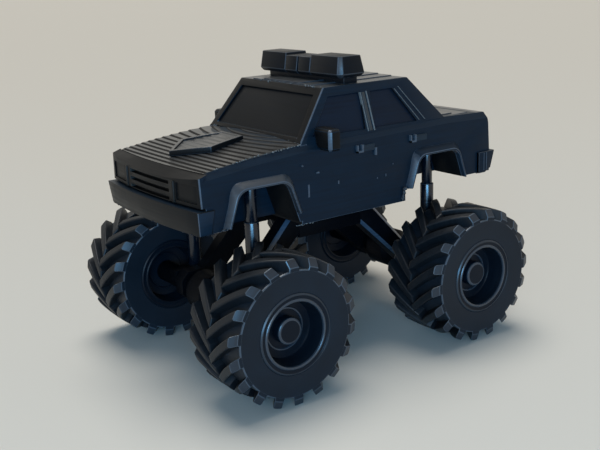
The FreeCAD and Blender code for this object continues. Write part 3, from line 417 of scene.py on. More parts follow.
forwards = rule.mix(rule.math("MAXIMUM", front, given["Back"]), given["Back"], last)
height = rule.math("MULTIPLY_ADD", level, given["Layer height"], given["Base"])
laid = rule.put("GeometryNodeSetPosition", [("Geometry", sheet.outputs["Mesh"]),
                                            ("Position", rule.vector(forwards, sideways, height))])
close_tree(rule, laid.outputs[0], given["Plastic"])
tread_painted_sheen_plastic = printed_plastic("tread_painted_sheen_plastic", "Z", (0.0170, 0.0195, 0.0220), 0.33, 0.85)
riser_painted_shade_plastic = printed_plastic("riser_painted_shade_plastic", "Z", (0.0016, 0.0018, 0.0022), 0.45, 0.06)
HOOD = {
    "Layers": 15, "Layer height": LAYER, "Columns": 41, "Half width": 23.1, "Draw in": 0.0142, "Nose edge": 48.4,
    "Nose bow": NOSE_BOW, "First riser": 47.2, "Pitch": 1.808, "Pitch growth": 0.0292, "Riser lean": 0.70,
    "Bow": 0.001, "Crown": 7.7e-7, "Back": 15.7, "Base": HOOD_EDGE, "Plastic": tread_painted_sheen_plastic,
}
HOOD_SEAT, RISER_SLOPE, SAME_CORNER = 59.5, 0.2, 1e-4


def to_metres(mesh):
    """Brings a mesh in millimetres to the scene's metres."""
    bmesh.ops.transform(mesh, matrix=Matrix.Scale(MM, 4), verts=mesh.verts)


def thicken(mesh, foot):
    """Closes a sheet into a block that reaches down to a level."""
    bmesh.ops.remove_doubles(mesh, verts=mesh.verts, dist=SAME_CORNER)
    rim = [e for e in mesh.edges if e.is_boundary]
    skirt = bmesh.ops.extrude_edge_only(mesh, edges=rim)["geom"]
    for vert in (g for g in skirt if isinstance(g, bmesh.types.BMVert)):
        vert.co.z = foot
    bmesh.ops.holes_fill(mesh, edges=[e for e in mesh.edges if e.is_boundary])
    to_metres(mesh)
    bmesh.ops.recalc_face_normals(mesh, faces=mesh.faces)


hood = node_piece(hood_tree, HOOD)
thicken(hood, HOOD_SEAT)
for face in hood.faces:
    if face.normal.x > RISER_SLOPE:
        face.material_index = 2
finish_piece(hood, "hood_layers", (tread_painted_sheen_plastic, painted_highlight_plastic, riser_painted_shade_plastic), (), 20, True)

# Boot lid and roof: nearly level too, so they end in a few layers, each smaller than the one below it. The boot lid
# falls a little towards the tail, and the roof is crowned from side to side. The boot lid takes the hood's painted
# sheen, and the roof a lighter painted sheen of its own.
stack_tree, rule, given = new_tree(
    "stacked_layers", Int=("Layers",), Material=("Plastic",),
    Float=("Layer height", "Base", "Front", "Front step", "Rear", "Rear step", "Half width", "Side step"))
feet = rule.put("GeometryNodeMeshLine", [("Count", given["Layers"]), ("Offset", (0, 0, 0))])
index = rule.put("GeometryNodeInputIndex").outputs[0]
front = rule.math("SUBTRACT", given["Front"], rule.math("MULTIPLY", given["Front step"], index))
rear = rule.math("MULTIPLY_ADD", given["Rear step"], index, given["Rear"])
half = rule.math("SUBTRACT", given["Half width"], rule.math("MULTIPLY", given["Side step"], index))
middle = rule.vector(rule.mix(rear, front, 0.5), 0, rule.math("MULTIPLY_ADD", rule.math("ADD", index, 0.5),
                                                              given["Layer height"], given["Base"]))
placed = rule.put("GeometryNodeSetPosition", [("Geometry", feet.outputs[0]), ("Position", middle)])
extent = rule.vector(rule.math("SUBTRACT", front, rear), rule.math("MULTIPLY", half, 2), given["Layer height"])
blank = rule.put("GeometryNodeMeshCube", [("Size", (1, 1, 1))])
layers = rule.put("GeometryNodeInstanceOnPoints", [("Points", placed.outputs[0]), ("Instance", blank.outputs["Mesh"]),
                                                   ("Scale", extent)])
close_tree(rule, layers.outputs[0], given["Plastic"])
LAYER_EDGE = 0.08


def stack(name, plastic, values):
    """A stack of printed layers, with softened edges, that rides on the truck's body. The softened edges are painted
    light as painted highlights, and the faces that look forwards near black as painted shade.
    """
    mesh = node_piece(stack_tree, {"Layer height": LAYER, "Plastic": plastic, **values})
    above = values["Base"] + 0.1
    bmesh.ops.bevel(mesh, geom=[e for e in mesh.edges if min(v.co.z for v in e.verts) > above], offset=LAYER_EDGE,
                    segments=1, profile=0.5, affect="EDGES", clamp_overlap=True, material=1)
    to_metres(mesh)
    finish_piece(mesh, name, (plastic, painted_highlight_plastic, riser_painted_shade_plastic), (), 20, True)


stack("boot_layers", tread_painted_sheen_plastic, {
    "Layers": 3, "Base": 63.30, "Front": -33.5, "Front step": 0.0, "Rear": -51.6, "Rear step": 4.9,
    "Half width": 22.7, "Side step": 1.6,
})
roof_painted_sheen_plastic = printed_plastic("roof_painted_sheen_plastic", "Z", (0.022, 0.025, 0.028), 0.32, 0.8)
stack("roof_layers", roof_painted_sheen_plastic, {
    "Layers": 3, "Base": 76.34, "Front": 7.2, "Front step": 0.3, "Rear": -22.8, "Rear step": 0.35,
    "Half width": 19.7, "Side step": 5.4,
})

# Grille and lamps: a bowed plate with level slots between two upright posts, pressed into the shell's front, and flat
# lamp panels in shallow pockets beside it. All of it is the same black plastic: its faces take the darker neutral
# front copy as painted shade, and the faces that look sideways and the rounded edges a lighter warm grey, as painted
# highlights.
front_painted_highlight_plastic = printed_plastic("front_painted_highlight_plastic", "Z", (0.024, 0.021, 0.018), 0.38, 0.3)
LOOKS_SIDEWAYS = 0.6
HANDS = (("left", 1), ("right", -1))
for name in ("grille", "headlight_left", "headlight_right"):
    panel = merged_copy(name)
    for face in panel.faces:
        face.material_index = int(abs(face.normal.y) > LOOKS_SIDEWAYS)
    round_edges(panel, 0.12)
    finish_piece(panel, f"{name}_print", (front_painted_shade_plastic, front_painted_highlight_plastic), (name,))
for hand, sign in HANDS:
    soften(f"tail_light_{hand}", (painted_blue_light_plastic, painted_highlight_plastic), 0.1)

# Fender flares: bands that rise from the body's side to a narrow lip round each wheel arch, printed with the shell.
# They lean up towards the sky; the front ones are painted lighter than the doors as a painted sheen, and the rear
# ones' faces that look forwards a lighter blue, as painted light.
CORNERS = ("front_left", "front_right", "rear_left", "rear_right")
flare_painted_sheen_plastic = printed_plastic("flare_painted_sheen_plastic", "Z", (0.0260, 0.0320, 0.0390), 0.36, 0.45)
rear_flare_painted_sheen_plastic = printed_plastic("rear_flare_painted_sheen_plastic", "Z", (0.0100, 0.0230, 0.0380), 0.36, 0.4)
for corner in CORNERS:
    plastics = (flare_painted_sheen_plastic, painted_highlight_plastic, flare_painted_sheen_plastic)
    if "rear" in corner:
        plastics = (painted_blue_light_plastic, painted_highlight_plastic, rear_flare_painted_sheen_plastic)
    soften(f"fender_flare_{corner}", plastics, 0.14, True)

# Cabin and windows: the roof and its pillars are one frame, and one block of the same plastic fills it and stands for
# every window. The middle pillar is a raised face between two narrow beads, and two more run down behind the rear
# door's window. The windows' sides are tinted blue as painted blue light and the windscreen is a darker neutral as
# painted shade; the beads and the raised face are painted light, as painted highlights.
ROOF_EDGE, SCREEN_TOP, SCREEN_FOOT, SCREEN_SIDE = 76.6, 6, 19, 19.5
BELT_HALF, BELT_HEIGHT, LEAN, LEAN_HEIGHT = 23.7, 60.9, 3.4, 15.7
BEAD_DEPTH, BEAD_RISE, FACE_RISE = 0.4, 0.25, 0.12


def cut(mesh, place, outwards):
    """Cuts away what lies beyond a plane, and gives the edges of the cut."""
    everything = list(mesh.verts) + list(mesh.edges) + list(mesh.faces)
    made = bmesh.ops.bisect_plane(mesh, geom=everything, plane_co=place, plane_no=outwards, clear_outer=True)
    return [e for e in made["geom_cut"] if isinstance(e, bmesh.types.BMEdge)]


cabin = merged_copy("cabin")
bmesh.ops.holes_fill(cabin, edges=cut(cabin, (0, 0, ROOF_EDGE * MM), (0, 0, 1)))
merge_flat(cabin)
# The front pillars' outer edges, painted light as a painted highlight, then every edge behind them, then those round
# the windscreen, in the darker front copy as painted shade.
round_edges(cabin, 0.3, lambda m: SCREEN_TOP < m.x < SCREEN_FOOT and abs(m.y) > SCREEN_SIDE)
round_edges(cabin, 0.15, lambda m: m.x < SCREEN_TOP, 0)
round_edges(cabin, 0.15, lambda m: m.x > SCREEN_TOP and abs(m.y) < SCREEN_SIDE, 2)
finish_piece(cabin, "cabin_print", (painted_blue_light_plastic, painted_highlight_plastic, front_painted_shade_plastic), ("cabin",), facing=True)
window_painted_blue_light_plastic = printed_plastic("window_painted_blue_light_plastic", "Z", (0.0045, 0.0095, 0.0180), 0.40)
screen_painted_shade_plastic = printed_plastic("screen_painted_shade_plastic", "Z", (0.0042, 0.0050, 0.0062), 0.36, 0.12)
soften("windows", (window_painted_blue_light_plastic, dim_painted_highlight_plastic, screen_painted_shade_plastic), 0.1, True)


def side_face(height):
    """Half the cabin's width at a height, over its leaning sides."""
    return BELT_HALF - (height - BELT_HEIGHT) * LEAN / LEAN_HEIGHT


def bead(mesh, ends, wide, proud, face, sign):
    """A flat-topped strip that stands proud of a face of the truck's side, between two points given as (along,
    up). It starts inside the face, and its top is half as wide as its foot."""
    (x0, z0), (x1, z1) = ends
    corners = []
    for out, narrow in ((-BEAD_DEPTH, 0.0), (proud, 0.25 * wide)):
        for x, z in ((x0, z0), (x1, z1)):
            for s in (-1, 1):
                corners.append(mesh.verts.new(Vector((x + s * (wide / 2 - narrow), sign * (face(z) + out), z)) * MM))
    for quad in ((0, 1, 3, 2), (4, 6, 7, 5), (0, 4, 5, 1), (2, 3, 7, 6), (0, 2, 6, 4), (1, 5, 7, 3)):
        mesh.faces.new([corners[i] for i in quad])


bead_painted_highlight_plastic = printed_plastic("bead_painted_highlight_plastic", "Z", (0.125, 0.128, 0.125), 0.34, 0.5)
pillar_painted_highlight_plastic = printed_plastic("pillar_painted_highlight_plastic", "Z", (0.030, 0.032, 0.032), 0.36, 0.4)
PILLAR_BEADS = [
    # upper end and lower end as (along, up), width
    ((-5.05, 74.2), (-5.9, 63.6), 0.5),
    ((-7.15, 74.4), (-8.15, 63.6), 0.6),
    ((-17.4, 74.0), (-25.1, 64.4), 0.35),
    ((-18.9, 74.5), (-27.3, 64.4), 0.35),
]
PILLAR_FACE, PILLAR_WIDTH = ((-6.1, 74.2), (-7.05, 63.7)), 1.7
for hand, sign in HANDS:
    beads = bmesh.new()
    for upper, lower, wide in PILLAR_BEADS:
        bead(beads, (upper, lower), wide, BEAD_RISE, side_face, sign)
    finish_blocks(beads, f"pillar_beads_{hand}", (bead_painted_highlight_plastic, bead_painted_highlight_plastic))
    pillar = bmesh.new()
    bead(pillar, PILLAR_FACE, PILLAR_WIDTH, FACE_RISE, side_face, sign)
    finish_blocks(pillar, f"pillar_faces_{hand}", (pillar_painted_highlight_plastic, painted_highlight_plastic))

# Hood scoop: a low shield that points forward, with a rim round a sunken top. It is printed in one piece with the
# hood, so the sunken top is stepped like it. Its upward faces and its sunken top take the hood's painted sheen, and
# the rest the darker front copy as painted shade.
SCOOP_SEAT, SCOOP_FLOOR, SCOOP_MIDDLE, LOOKS_UP = 60.5, 60.9, 33, 0.8
scoop = merged_copy("hood_scoop")
round_edges(scoop, 0.14)
for face in scoop.faces:
    if face.normal.z > LOOKS_UP:
        face.material_index = 2
finish_piece(scoop, "hood_scoop_rim", (front_painted_shade_plastic, dim_painted_highlight_plastic, tread_painted_sheen_plastic), ("hood_scoop",))
scoop_floor = node_piece(hood_tree, {**HOOD, "Base": SCOOP_FLOOR})
bmesh.ops.remove_doubles(scoop_floor, verts=scoop_floor.verts, dist=SAME_CORNER)
DISH = [(42.6, 0.0), (35.4, 7.2), (24.7, 4.2), (24.7, -4.2), (35.4, -7.2)]
for (x0, y0), (x1, y1) in zip(DISH, DISH[1:] + DISH[:1]):
    outwards = Vector((y1 - y0, x0 - x1, 0))
    if outwards.dot(Vector((x0 - SCOOP_MIDDLE, y0, 0))) < 0:
        outwards.negate()
    cut(scoop_floor, (x0, y0, 0), outwards)
thicken(scoop_floor, SCOOP_SEAT)
finish_piece(scoop_floor, "scoop_floor_layers", (tread_painted_sheen_plastic, painted_highlight_plastic), smooth=20)

# Bumpers: deep plain bars across the nose and the tail, printed with the shell. The front one has a corner at each
# end painted light as a painted highlight, its ends a lighter blue as painted light, and its front and edges a darker
# neutral as painted shade; two upright ribs run down each end of the rear one, painted light as painted highlights.
bumper_painted_shade_plastic = printed_plastic("bumper_painted_shade_plastic", "Z", (0.0062, 0.0066, 0.0072), 0.40, 0.13)
bumper_end_painted_blue_light_plastic = printed_plastic("bumper_end_painted_blue_light_plastic", "Z", (0.0070, 0.0180, 0.0310), 0.38, 0.2)
UPRIGHT, CORNER_START, CORNER_SIDE, END_LOOKS = 0.35, 49, 24.8, 0.7
bumper = merged_copy("front_bumper")
round_edges(bumper, 0.22)
for face in bumper.faces:
    spot = face.calc_center_median() / MM
    at_corner = abs(spot.y) > CORNER_SIDE and spot.x > CORNER_START
    if face.material_index == 1 and abs(face.normal.z) < UPRIGHT and at_corner:
        face.material_index = 3
    elif face.material_index == 0 and abs(face.normal.y) > END_LOOKS:
        face.material_index = 4
finish_piece(bumper, "front_bumper_print",
             (painted_blue_light_plastic, bumper_painted_shade_plastic, bumper_painted_shade_plastic, painted_highlight_plastic, bumper_end_painted_blue_light_plastic), ("front_bumper",),
             facing=True)
soften("rear_bumper", (painted_blue_light_plastic, dim_painted_highlight_plastic), 0.2)
RIB_PLACES, RIB_TOP, RIB_FOOT, RIB_WIDTH, BUMPER_SIDE = (-49.3, -50.4), 51.6, 46.2, 0.35, 25.8
ribs = bmesh.new()
for hand, sign in HANDS:
    for place in RIB_PLACES:
        bead(ribs, ((place, RIB_TOP), (place, RIB_FOOT)), RIB_WIDTH, FACE_RISE, lambda height: BUMPER_SIDE, sign)
finish_blocks(ribs, "rear_bumper_ribs", (painted_highlight_plastic, painted_highlight_plastic))

# Mirrors and handles: housings on the doors' front corners, each with a slanted side painted light as a painted
# highlight, and handles that printed as a small cup, a low bar and, on the front doors, a tick of plastic behind it.
# The cup, the bar's front end and the tick are painted light as painted highlights, and the bar a lighter blue as
# painted light.
SLANT_FORWARDS, SLANT_SIDEWAYS = 0.4, 0.3
for hand, sign in HANDS:
    mirror = merged_copy(f"mirror_{hand}")
    round_edges(mirror, 0.2)
    for face in mirror.faces:
        if face.normal.x > SLANT_FORWARDS and abs(face.normal.y) > SLANT_SIDEWAYS:
            face.material_index = 2
    finish_piece(mirror, f"mirror_{hand}_print", (front_painted_shade_plastic, painted_blue_light_plastic, painted_highlight_plastic),
                 (f"mirror_{hand}",))
handle_painted_light_plastic = printed_plastic("handle_painted_light_plastic", "Z", (0.0070, 0.0170, 0.0260), 0.38, 0.25)
CUP_FACE, BAR_END_FACE, BAR_FACE = 25.19, 25.17, 25.10
HANDLES = [
    # door, front end of its cup, underside of the cup, rear end of its bar, whether a tick follows it
    ("front", -0.25, 58.4, -6.5, True),
    ("rear", -19.9, 58.6, -26.2, False),
]
for hand, sign in HANDS:
    for door, front, low, rear, tick in HANDLES:
        handle = bmesh.new()
        slab(handle, front, front - 0.5, low, low + 2.1, CUP_FACE, sign)
        slab(handle, front, front - 2.2, low, low + 0.5, CUP_FACE, sign)
        slab(handle, front - 1.7, front - 2.3, low + 0.1, low + 2.1, BAR_END_FACE, sign)
        slab(handle, front - 2.3, rear, low + 0.2, low + 1.9, BAR_FACE, sign, 2)
        if tick:
            slab(handle, rear - 0.15, rear - 0.75, low - 1.4, low + 0.7, BAR_END_FACE, sign)
        finish_blocks(handle, f"door_handle_{door}_{hand}_print", (painted_blue_light_plastic, painted_highlight_plastic, handle_painted_light_plastic),
                      (f"door_handle_{door}_{hand}",))

# Light bar: four pods in a row on a low base, which is printed onto the roof's layers. Their edges are painted a
# little lighter, and only the outer pods' slanted corners fully light, as painted highlights.
bar_plastic = printed_plastic("bar_plastic", "Z", (0.0030, 0.0048, 0.0072), 0.42)
BAR_FOOT, BAR_SEAT, POD_SLANT, BEVEL_FORWARDS, BEVEL_SIDEWAYS = 77.6, 76.5, 0.4, 0.7, 0.15
base = merged_copy("light_bar_base")
for vert in base.verts:
    if vert.co.z < BAR_FOOT * MM:
        vert.co.z = BAR_SEAT * MM
round_edges(base, 0.15)
finish_piece(base, "light_bar_base_print", (bar_plastic, dim_painted_highlight_plastic), ("light_bar_base",))
for name in ("light_bar_pod_left", "light_bar_pod_right", "light_bar_middle_left", "light_bar_middle_right"):
    pod = merged_copy(name)
    for face in pod.faces:
        if face.normal.x > POD_SLANT and abs(face.normal.y) > POD_SLANT:
            face.material_index = 1
    round_edges(pod, 0.2)
    for face in pod.faces:
        x, y, z = face.normal
        if face.material_index == 1 and x > BEVEL_FORWARDS and abs(y) > BEVEL_SIDEWAYS and abs(z) < UPRIGHT:
            face.material_index = 2
    finish_piece(pod, f"{name}_print", (bar_plastic, dim_painted_highlight_plastic, painted_highlight_plastic), (name,))

# Chassis: two rails and a plate under the sill, with a thick arm from each rail's end down to its axle, and each axle
# a turned beam with its housing in the middle. All of it is printed in place and painted near black as painted shade
# under the body, and only the arms' slanted faces are painted light, as painted highlights.
chassis_painted_shade_plastic = printed_plastic("chassis_painted_shade_plastic", "Z", (0.0014, 0.0021, 0.0034), 0.46, 0.06)
arm_painted_highlight_plastic = printed_plastic("arm_painted_highlight_plastic", "Z", (0.030, 0.055, 0.085), 0.30, 0.6)
for name in ("chassis_rail_left", "chassis_rail_right", "chassis_plate", "front_axle", "rear_axle"):
    soften(name, (chassis_painted_shade_plastic, chassis_painted_shade_plastic), 0.2)
ARM_SIDEWAYS, ARM_UPWARDS = 0.3, 0.2
for corner in CORNERS:
    arm = merged_copy(f"link_arm_{corner}")
    for face in arm.faces:
        if abs(face.normal.y) > ARM_SIDEWAYS and abs(face.normal.z) > ARM_UPWARDS:
            face.material_index = 2
    round_edges(arm, 0.15)
    for face in arm.faces:
        face.material_index = face.material_index // 2
    finish_piece(arm, f"link_arm_{corner}_print", (chassis_painted_shade_plastic, arm_painted_highlight_plastic),
                 (f"link_arm_{corner}",), 20)

# Shocks: a rod in a wider body that stands on the axle, each round and glossier than the rest, so a narrow streak
# of light runs down it. They are printed in place, in one piece with the body and the axle.
shock_plastic = printed_plastic("shock_plastic", "Z", (0.0018, 0.0048, 0.0095), 0.20, 0.6, 0.05, 0.05)
for corner in CORNERS:
    soften(f"shock_body_{corner}", (shock_plastic, dim_painted_highlight_plastic), 0.2)
    soften(f"shock_rod_{corner}", (shock_plastic, dim_painted_highlight_plastic), 0.1)

# Tyres: hard printed plastic like the rest, in the shape of a tractor tyre. Each side has 18 swept lugs, half a
# pitch apart from those of the other side, whose squared ends lean in from a flat sidewall. They are printed on
# their side, so the layers run round them.
tread_tree, rule, given = new_tree(
    "lug_tread", Int=("Lugs per side",), Material=("Plastic",),
    Float=("Inner end", "Outer end", "End lean", "Sweep", "Sweep easing", "Inner width", "Outer width", "Draft",
           "Foot radius", "Shoulder radius", "Top radius", "Crown"))
blank = rule.put("GeometryNodeMeshCube", [("Size", (1, 1, 1)), ("Vertices X", 3), ("Vertices Y", 12),
                                          ("Vertices Z", 3)])
corner = rule.put("ShaderNodeSeparateXYZ", [(0, rule.put("GeometryNodeInputPosition").outputs[0])])
along = rule.math("ADD", corner.outputs[1], 0.5)
high = rule.math("ADD", corner.outputs[2], 0.5)
lower = rule.math("MINIMUM", rule.math("MULTIPLY", high, 2), 1)
upper = rule.math("MAXIMUM", rule.math("MULTIPLY_ADD", high, 2, -1), 0)
end = rule.math("SUBTRACT", given["Outer end"], rule.math("MULTIPLY", given["End lean"], upper))
start = rule.math("MULTIPLY_ADD", given["Draft"], high, given["Inner end"])
sideways = rule.mix(start, end, along)
from_start = rule.math("SUBTRACT", sideways, given["Inner end"])
swept = rule.math("MULTIPLY", from_start, rule.math("SUBTRACT", given["Sweep"],
                                                    rule.math("MULTIPLY", given["Sweep easing"], from_start)))
top = rule.math("SUBTRACT", given["Top radius"],
                rule.math("MULTIPLY", given["Crown"], rule.math("POWER", rule.math("ABSOLUTE", sideways), 2)))
radius = rule.mix(rule.mix(given["Foot radius"], given["Shoulder radius"], lower), top, upper)
wide = rule.math("MULTIPLY_ADD", given["Draft"], rule.math("SUBTRACT", 1, high),
                 rule.mix(given["Inner width"], given["Outer width"], along))
turn = rule.math("MULTIPLY_ADD", corner.outputs[0], rule.math("DIVIDE", wide, radius),
                 rule.math("RADIANS", swept))
place = rule.vector(rule.math("MULTIPLY", radius, rule.math("COSINE", turn)), sideways,
                    rule.math("MULTIPLY", radius, rule.math("SINE", turn)))
lug = rule.put("GeometryNodeSetPosition", [("Geometry", blank.outputs["Mesh"]), ("Position", place)])
mirrored = rule.put("GeometryNodeTransform", [("Geometry", lug.outputs[0]), ("Scale", (1, -1, 1))])
mirrored = rule.put("GeometryNodeFlipFaces", [("Mesh", mirrored.outputs[0])])
pitch = rule.math("DIVIDE", math.tau, given["Lugs per side"])
both = rule.put("GeometryNodeJoinGeometry")
rings = []
for shape, shift in ((lug, 0.0), (mirrored, 0.5)):
    hub = rule.put("GeometryNodeMeshLine", [("Count", given["Lugs per side"]), ("Offset", (0, 0, 0))])
    step = rule.math("MULTIPLY", pitch, rule.math("ADD", rule.put("GeometryNodeInputIndex").outputs[0], shift))
    spin = rule.put("FunctionNodeEulerToRotation", [(0, rule.vector(0, step, 0))])
    rings.append(rule.put("GeometryNodeInstanceOnPoints", [("Points", hub.outputs[0]), ("Instance", shape.outputs[0]),
                                                           ("Rotation", spin.outputs[0])]))
for ring in rings:
    rule.tree.links.new(ring.outputs[0], both.inputs[0])
close_tree(rule, both.outputs[0], given["Plastic"])

tyre_plastic = printed_plastic("tyre_plastic", "Y", (0.0075, 0.0120, 0.0175), 0.42, 0.2)
lug_plastic = printed_plastic("lug_plastic", "Y", (0.0080, 0.0098, 0.0120), 0.40, 0.22)
lug_end_painted_highlight_plastic = printed_plastic("lug_end_painted_highlight_plastic", "Y", (0.0115, 0.0175, 0.0245), 0.32, 0.5)
lug_line_painted_highlight_plastic = printed_plastic("lug_line_painted_highlight_plastic", "Y", (0.040, 0.054, 0.068), 0.34, 0.6)
LUGS = {
    "Lugs per side": 18, "Inner end": -1.1, "Outer end": 10.24, "End lean": 0.95, "Sweep": 2.69,
    "Sweep easing": 0.0312, "Inner width": 2.6, "Outer width": 2.7, "Draft": 0.4, "Foot radius": 16.3,
    "Shoulder radius": 17.5, "Top radius": 19.78, "Crown": 0.0016, "Plastic": lug_plastic,
}
CARCASS = [
    # across, radius: from the bead up the sidewall to the middle of the tread floor
    (9.6, 10.5), (9.95, 10.9), (10.0, 11.5), (10.12, 13.5), (10.2, 15.6), (10.25, 16.45), (10.16, 16.7), (9.9, 16.8),
    (8.0, 16.85), (4.0, 17.0), (0.0, 17.0),
]
WHEELS = [
    # name, middle of the wheel, side, turn of the tread in degrees
    ("front_left", 34.15, 1, 4.1),
    ("front_right", 34.15, -1, 4.0),
    ("rear_left", -32.55, 1, 13.0),
    ("rear_right", -32.55, -1, 7.5),
]
TRACK, AXLE_HEIGHT, FACETS = 31.7, 19.8, 96
# Across the tyre: where a lug's end, the edges of its end and the plain sidewall begin, and where its ridges stop.
END_START, END_EDGES, SIDEWALL, RIDGES_STOP = 8.5, 8.6, 10, 9.3
# Out from the axle: where the line round the sidewall, painted light as a painted highlight, and the tips of the lugs
# begin.
LINE_START, TIPS_START = 16.5, 19
LOOKS_OUT, SQUARELY_OUT = 0.75, 0.99
END_ROUND, RIDGE_ROUND, END_SHARP, RIDGE_SHARP = 0.14, 0.35, math.radians(18), math.radians(40)


def from_axle(spot):
    """How far a point of a wheel lies from the wheel's own axis."""
    return math.hypot(spot.x, spot.z)


def turned(mesh, outline, count=FACETS):
    """Adds a shape turned about the wheel's own axis: an outline of (across, radius) points, outer end first."""
    rings = []
    for across_axle, radius in outline:
        if radius == 0:
            rings.append([mesh.verts.new((0, across_axle, 0))] * count)
            continue
        rings.append([mesh.verts.new((radius * math.cos(math.tau * i / count), across_axle,
                                      radius * math.sin(math.tau * i / count))) for i in range(count)])
    for one, two in zip(rings, rings[1:]):
        for i in range(count):
            j = (i + 1) % count
            corners = [one[i], one[j], two[j], two[i]]
            mesh.faces.new([c for n, c in enumerate(corners) if c not in corners[:n]])


def seat_wheel(mesh, middle, side):
    """Moves a piece from the wheel's own axes to its place on the truck, facing outwards, in metres."""
    spot = Matrix.Translation((middle * MM, side * TRACK * MM, AXLE_HEIGHT * MM))
    bmesh.ops.transform(mesh, matrix=spot @ Matrix.Diagonal((MM, side * MM, MM, 1)), verts=mesh.verts)
    bmesh.ops.recalc_face_normals(mesh, faces=mesh.faces)


for name, middle, side, phase in WHEELS:
    tyre = node_piece(tread_tree, LUGS)
    bmesh.ops.remove_doubles(tyre, verts=tyre.verts, dist=SAME_CORNER)
    # The lugs' slanted ends are painted lighter, and the edges of their ends lighter still, as painted highlights;
    # their flat ends and the carcass take the sidewall's plastic.
    for face in tyre.faces:
        if abs(face.normal.y) > LOOKS_OUT and abs(face.calc_center_median().y) > END_START:
            face.material_index = 1 if abs(face.normal.y) < SQUARELY_OUT else 3
    ends = [e for e in tyre.edges
            if e.calc_face_angle(0) > END_SHARP and min(abs(v.co.y) for v in e.verts) > END_EDGES]
    bmesh.ops.bevel(tyre, geom=ends, offset=END_ROUND, segments=1, profile=0.5, affect="EDGES", clamp_overlap=True,
                    material=2)
    ridges = [e for e in tyre.edges
              if e.calc_face_angle(0) > RIDGE_SHARP and max(abs(v.co.y) for v in e.verts) < RIDGES_STOP
              and min(from_axle(v.co) for v in e.verts) > TIPS_START]
    bmesh.ops.bevel(tyre, geom=ridges, offset=RIDGE_ROUND, segments=2, profile=0.5, affect="EDGES",
                    clamp_overlap=True)
    lugs = set(tyre.faces)
    turned(tyre, CARCASS + [(-across_axle, radius) for across_axle, radius in reversed(CARCASS[:-1])])
    for face in set(tyre.faces) - lugs:
        spot = face.calc_center_median()
        face.material_index = 2 if abs(spot.y) > SIDEWALL and from_axle(spot) > LINE_START else 3
    bmesh.ops.rotate(tyre, verts=tyre.verts, matrix=Matrix.Rotation(-math.radians(phase), 3, "Y"))
    seat_wheel(tyre, middle, side)
    finish_piece(tyre, f"tyre_{name}_tread", (lug_plastic, lug_end_painted_highlight_plastic, lug_line_painted_highlight_plastic, tyre_plastic),
                 (f"tyre_{name}",), 18, body=f"wheel_{name}")

# Rims and hub caps: a dished rim that is printed in one piece with its tyre, with a bevelled lip, a narrow bead round
# the mouth and another round the dish's floor, and a cap with a bevelled edge over the end of the axle pin. The lip,
# both beads and the cap's edge are painted lighter than the rest, as painted highlights.
rim_plastic = printed_plastic("rim_plastic", "Y", (0.0030, 0.0062, 0.0105), 0.36, 0.16)
rim_painted_highlight_plastic = printed_plastic("rim_painted_highlight_plastic", "Y", (0.021, 0.031, 0.042), 0.28, 0.7)
rim_lip_painted_highlight_plastic = printed_plastic("rim_lip_painted_highlight_plastic", "Y", (0.0130, 0.0200, 0.0275), 0.32, 0.5)
RIM_FACE = [
    # across, radius: from the middle of the barrel out over the lip and down into the dish
    (0.0, 10.75), (9.7, 10.75), (9.95, 10.7), (10.2, 10.4), (10.22, 10.2), (10.05, 9.9), (10.03, 9.3), (10.2, 9.1),
    (10.24, 8.85), (10.1, 8.6), (9.7, 8.45), (5.0, 7.9), (4.72, 7.7), (4.65, 7.4), (4.65, 5.8), (5.0, 5.65),
    (5.0, 5.35), (4.65, 5.2), (4.65, 2.1),
]
CAP = [(4.55, 3.6), (7.0, 3.6), (7.3, 3.5), (7.5, 3.2), (7.53, 2.9), (7.53, 0.0)]
PIN_HOLE = RIM_FACE[-1]
# Where the face starts across the wheel, the mouth bead's radii, where the dish's floor bead lies across and its
# radii, and where the lip starts.
FACE_START, MOUTH_BEAD, FLOOR_BEAD, FLOOR_RING, LIP_START = 9.6, (8.5, 9.2), (4, 5.1), (5.2, 5.8), 10.1
CAP_EDGE_START, CAP_EDGE_RADIUS = 7.0, 3.0
for name, middle, side, phase in WHEELS:
    rim = bmesh.new()
    back_face = [(-across_axle, radius) for across_axle, radius in reversed(RIM_FACE[1:])]
    turned(rim, back_face + RIM_FACE + [(-PIN_HOLE[0], PIN_HOLE[1])])
    bmesh.ops.remove_doubles(rim, verts=rim.verts, dist=SAME_CORNER)
    for face in rim.faces:
        spot = face.calc_center_median()
        radius = from_axle(spot)
        on_mouth_bead = spot.y > FACE_START and MOUTH_BEAD[0] < radius < MOUTH_BEAD[1]
        on_floor_bead = FLOOR_BEAD[0] < spot.y < FLOOR_BEAD[1] and FLOOR_RING[0] < radius < FLOOR_RING[1]
        if on_mouth_bead or on_floor_bead:
            face.material_index = 1
        elif spot.y > FACE_START and radius > LIP_START:
            face.material_index = 2
    seat_wheel(rim, middle, side)
    finish_piece(rim, f"rim_{name}_dish", (rim_plastic, rim_painted_highlight_plastic, rim_lip_painted_highlight_plastic), (f"rim_{name}",),
                 22, body=f"wheel_{name}")
    cap = bmesh.new()
    turned(cap, CAP, FACETS // 2)
    for face in cap.faces:
        spot = face.calc_center_median()
        if spot.y > CAP_EDGE_START and from_axle(spot) > CAP_EDGE_RADIUS:
            face.material_index = 1
    seat_wheel(cap, middle, side)
    finish_piece(cap, f"hub_cap_{name}_dome", (rim_plastic, rim_painted_highlight_plastic), (f"hub_cap_{name}",),
                 body=f"wheel_{name}")

# Printing marks: crumbs and short hairs of plastic where the nozzle crossed a gap or a support was broken away. They
# sit along the bumper's foot, the sill, the hood's shoulders, the windscreen's foot and the roof's front edge. Those
# at the hood, the windscreen, the roof and the sill are painted light as painted highlights, and those at the flares'
# feet take the flares' painted sheen.
crumb_tree, rule, given = new_tree(
    "print_crumbs", Int=("Count", "Seed"), Float=("Smallest", "Largest", "Tumble"), Material=("Plastic",),
    Vector=("Start", "End", "Spread", "Stretch"))


